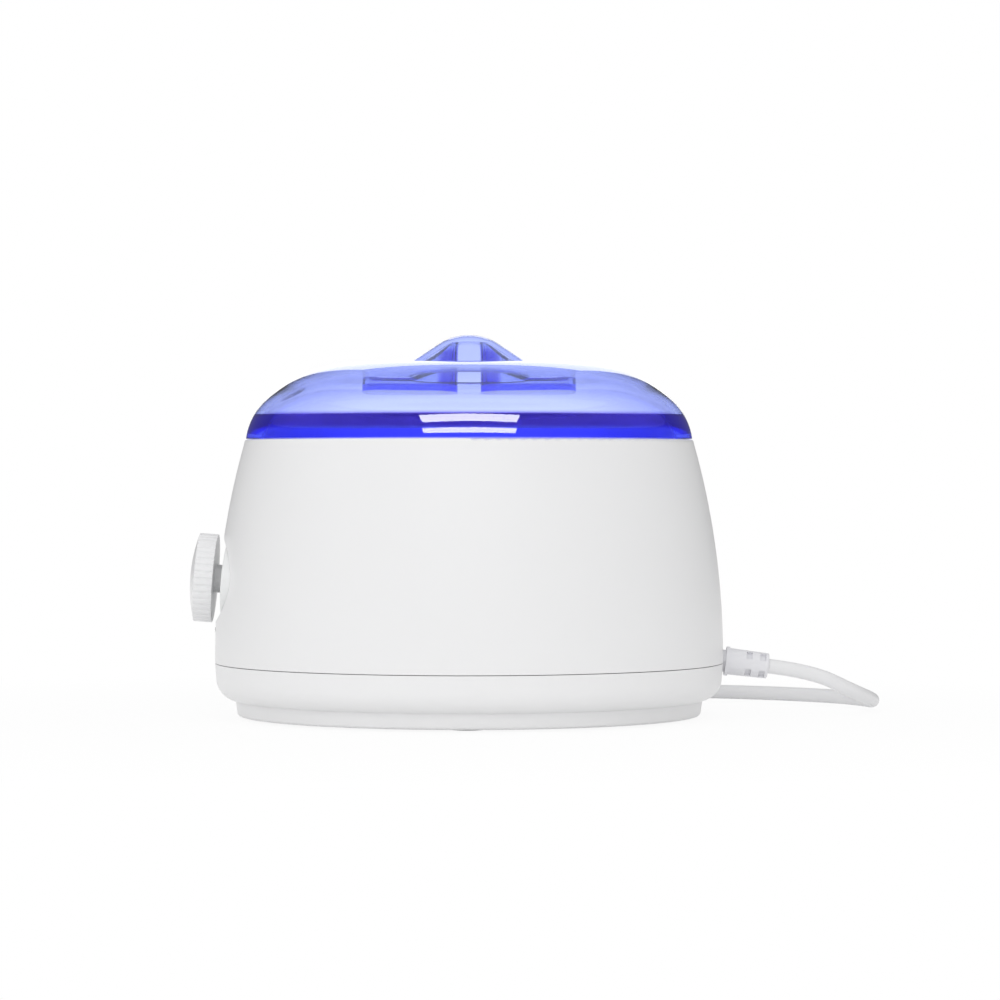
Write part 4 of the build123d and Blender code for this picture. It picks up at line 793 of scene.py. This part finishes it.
def makeWorld(plan):
    scene.world = bpy.data.worlds.new("studio")
    finish = Finish(scene.world, "Generated")
    kinds = ("Is Camera Ray", "Is Glossy Ray", "Is Transmission Ray", "Diffuse Depth")
    camera, glossy, through, scattered = finish.rays(*kinds)
    x, y, z = finish.axes()
    low, high = plan["glossRise"]
    gloss = finish.between(z, low, high, plan["horizonGloss"], plan["overheadGloss"])
    seen = finish.between(camera + through - scattered, 0.0, 1.0)
    unseen = (1 - glossy) * plan["ambient"] + glossy * gloss
    level = seen * (1 + through * (plan["backdrop"] - 1)) + (1 - seen) * unseen
    back = finish.node("ShaderNodeBackground", {}, {"Color": (1, 1, 1, 1), "Strength": level})
    finish.close("ShaderNodeOutputWorld", Surface=back)


# Lamps: azimuth and elevation in degrees as seen from the lid, size and level.
# The first three light every piece. The others and the roof are only reflected, and only by the lid.
lampAim = Vector((0, 0, 0.11))
lamps = {
    "frontFill": {"azimuth": -3, "elevation": 25, "distance": 1.9, "size": (1.6, 1.2), "level": 1.35},
    "sideFill": {"azimuth": -75, "elevation": 20, "distance": 1.6, "size": (1.0, 1.0), "level": 0.55},
    "topFill": {"azimuth": 0, "elevation": 78, "distance": 1.5, "size": (1.5, 1.5), "level": 0.5},
}
lidLamps = {
    "lowBar": {"azimuth": 0.6, "elevation": 26, "distance": 1.6, "size": (1.30, 0.30), "level": 18.0},
    "highBar": {"azimuth": 0.6, "elevation": 48.5, "distance": 1.7, "size": (1.30, 0.36), "level": 18.0},
    "rearCard": {"azimuth": 180, "elevation": 18, "distance": 1.8, "size": (0.7, 0.95), "level": 1.5},
}
roofPlan = {
    "height": 1.0,
    "back": 1.6,  # its middle behind the lid
    "size": (3.2, 4.52),
    "level": 1.5,
    "colour": (0.92, 0.97, 1.0),
    "fade": 0.06,  # share left after each metre towards the rear
}
reflectedByLid = bpy.data.collections.new("reflectedByLid")
reflectedByLid.objects.link(clearLid)


def makeLamp(name, shape, place, facing, size, level, area):
    light = bpy.data.lights.new(name, "AREA")
    light.shape = shape
    light.size, light.size_y = size
    light.energy = level * pi * area
    lamp = bpy.data.objects.new(name, light)
    lamp.location = place
    lamp.rotation_euler = facing.to_track_quat("Z", "Y").to_euler()
    lamp.visible_camera = False
    lamp.visible_transmission = False
    scene.collection.objects.link(lamp)
    return lamp


def reflectOnly(lamp):
    lamp.visible_diffuse = False
    lamp.light_linking.receiver_collection = reflectedByLid


def makeBox(name, azimuth, elevation, distance, size, level):
    turn, lift = radians(azimuth), radians(elevation)
    away = Vector((sin(turn) * cos(lift), -cos(turn) * cos(lift), sin(lift)))
    return makeLamp(name, "RECTANGLE", lampAim + away * distance, away, size, level, size[0] * size[1])


# The roof fades towards the rear. On the lamp, v runs from its rear end to its front end.
def makeRoof(plan):
    up = Vector((0, 0, 1))
    place = lampAim + Vector((0, plan["back"], plan["height"]))
    wide, deep = plan["size"]
    lamp = makeLamp("roof", "ELLIPSE", place, up, plan["size"], plan["level"], wide * deep * pi / 4)
    finish = Finish(lamp.data)
    spot = finish.node("ShaderNodeNewGeometry", {}, {}, "Parametric")
    v = finish.node("ShaderNodeSeparateXYZ", {}, {"Vector": spot}, "Y")
    rearEnd = plan["back"] + deep / 2
    behind = finish.between(v, 0.0, rearEnd / deep, rearEnd, 0.0)  # past the lid's middle, in metres
    glow = {"Color": shade(plan["colour"]), "Strength": plan["fade"] ** behind}
    finish.close("ShaderNodeOutputLight", Surface=finish.node("ShaderNodeEmission", {}, glow))
    reflectOnly(lamp)


makeFloor(stagePlan)
makeWorld(stagePlan)
for name, plan in lamps.items():
    makeBox(name, **plan).visible_glossy = False
for name, plan in lidLamps.items():
    reflectOnly(makeBox(name, **plan))
makeRoof(roofPlan)
print("stage set:", len(lamps) + len(lidLamps) + 1, "lamps")
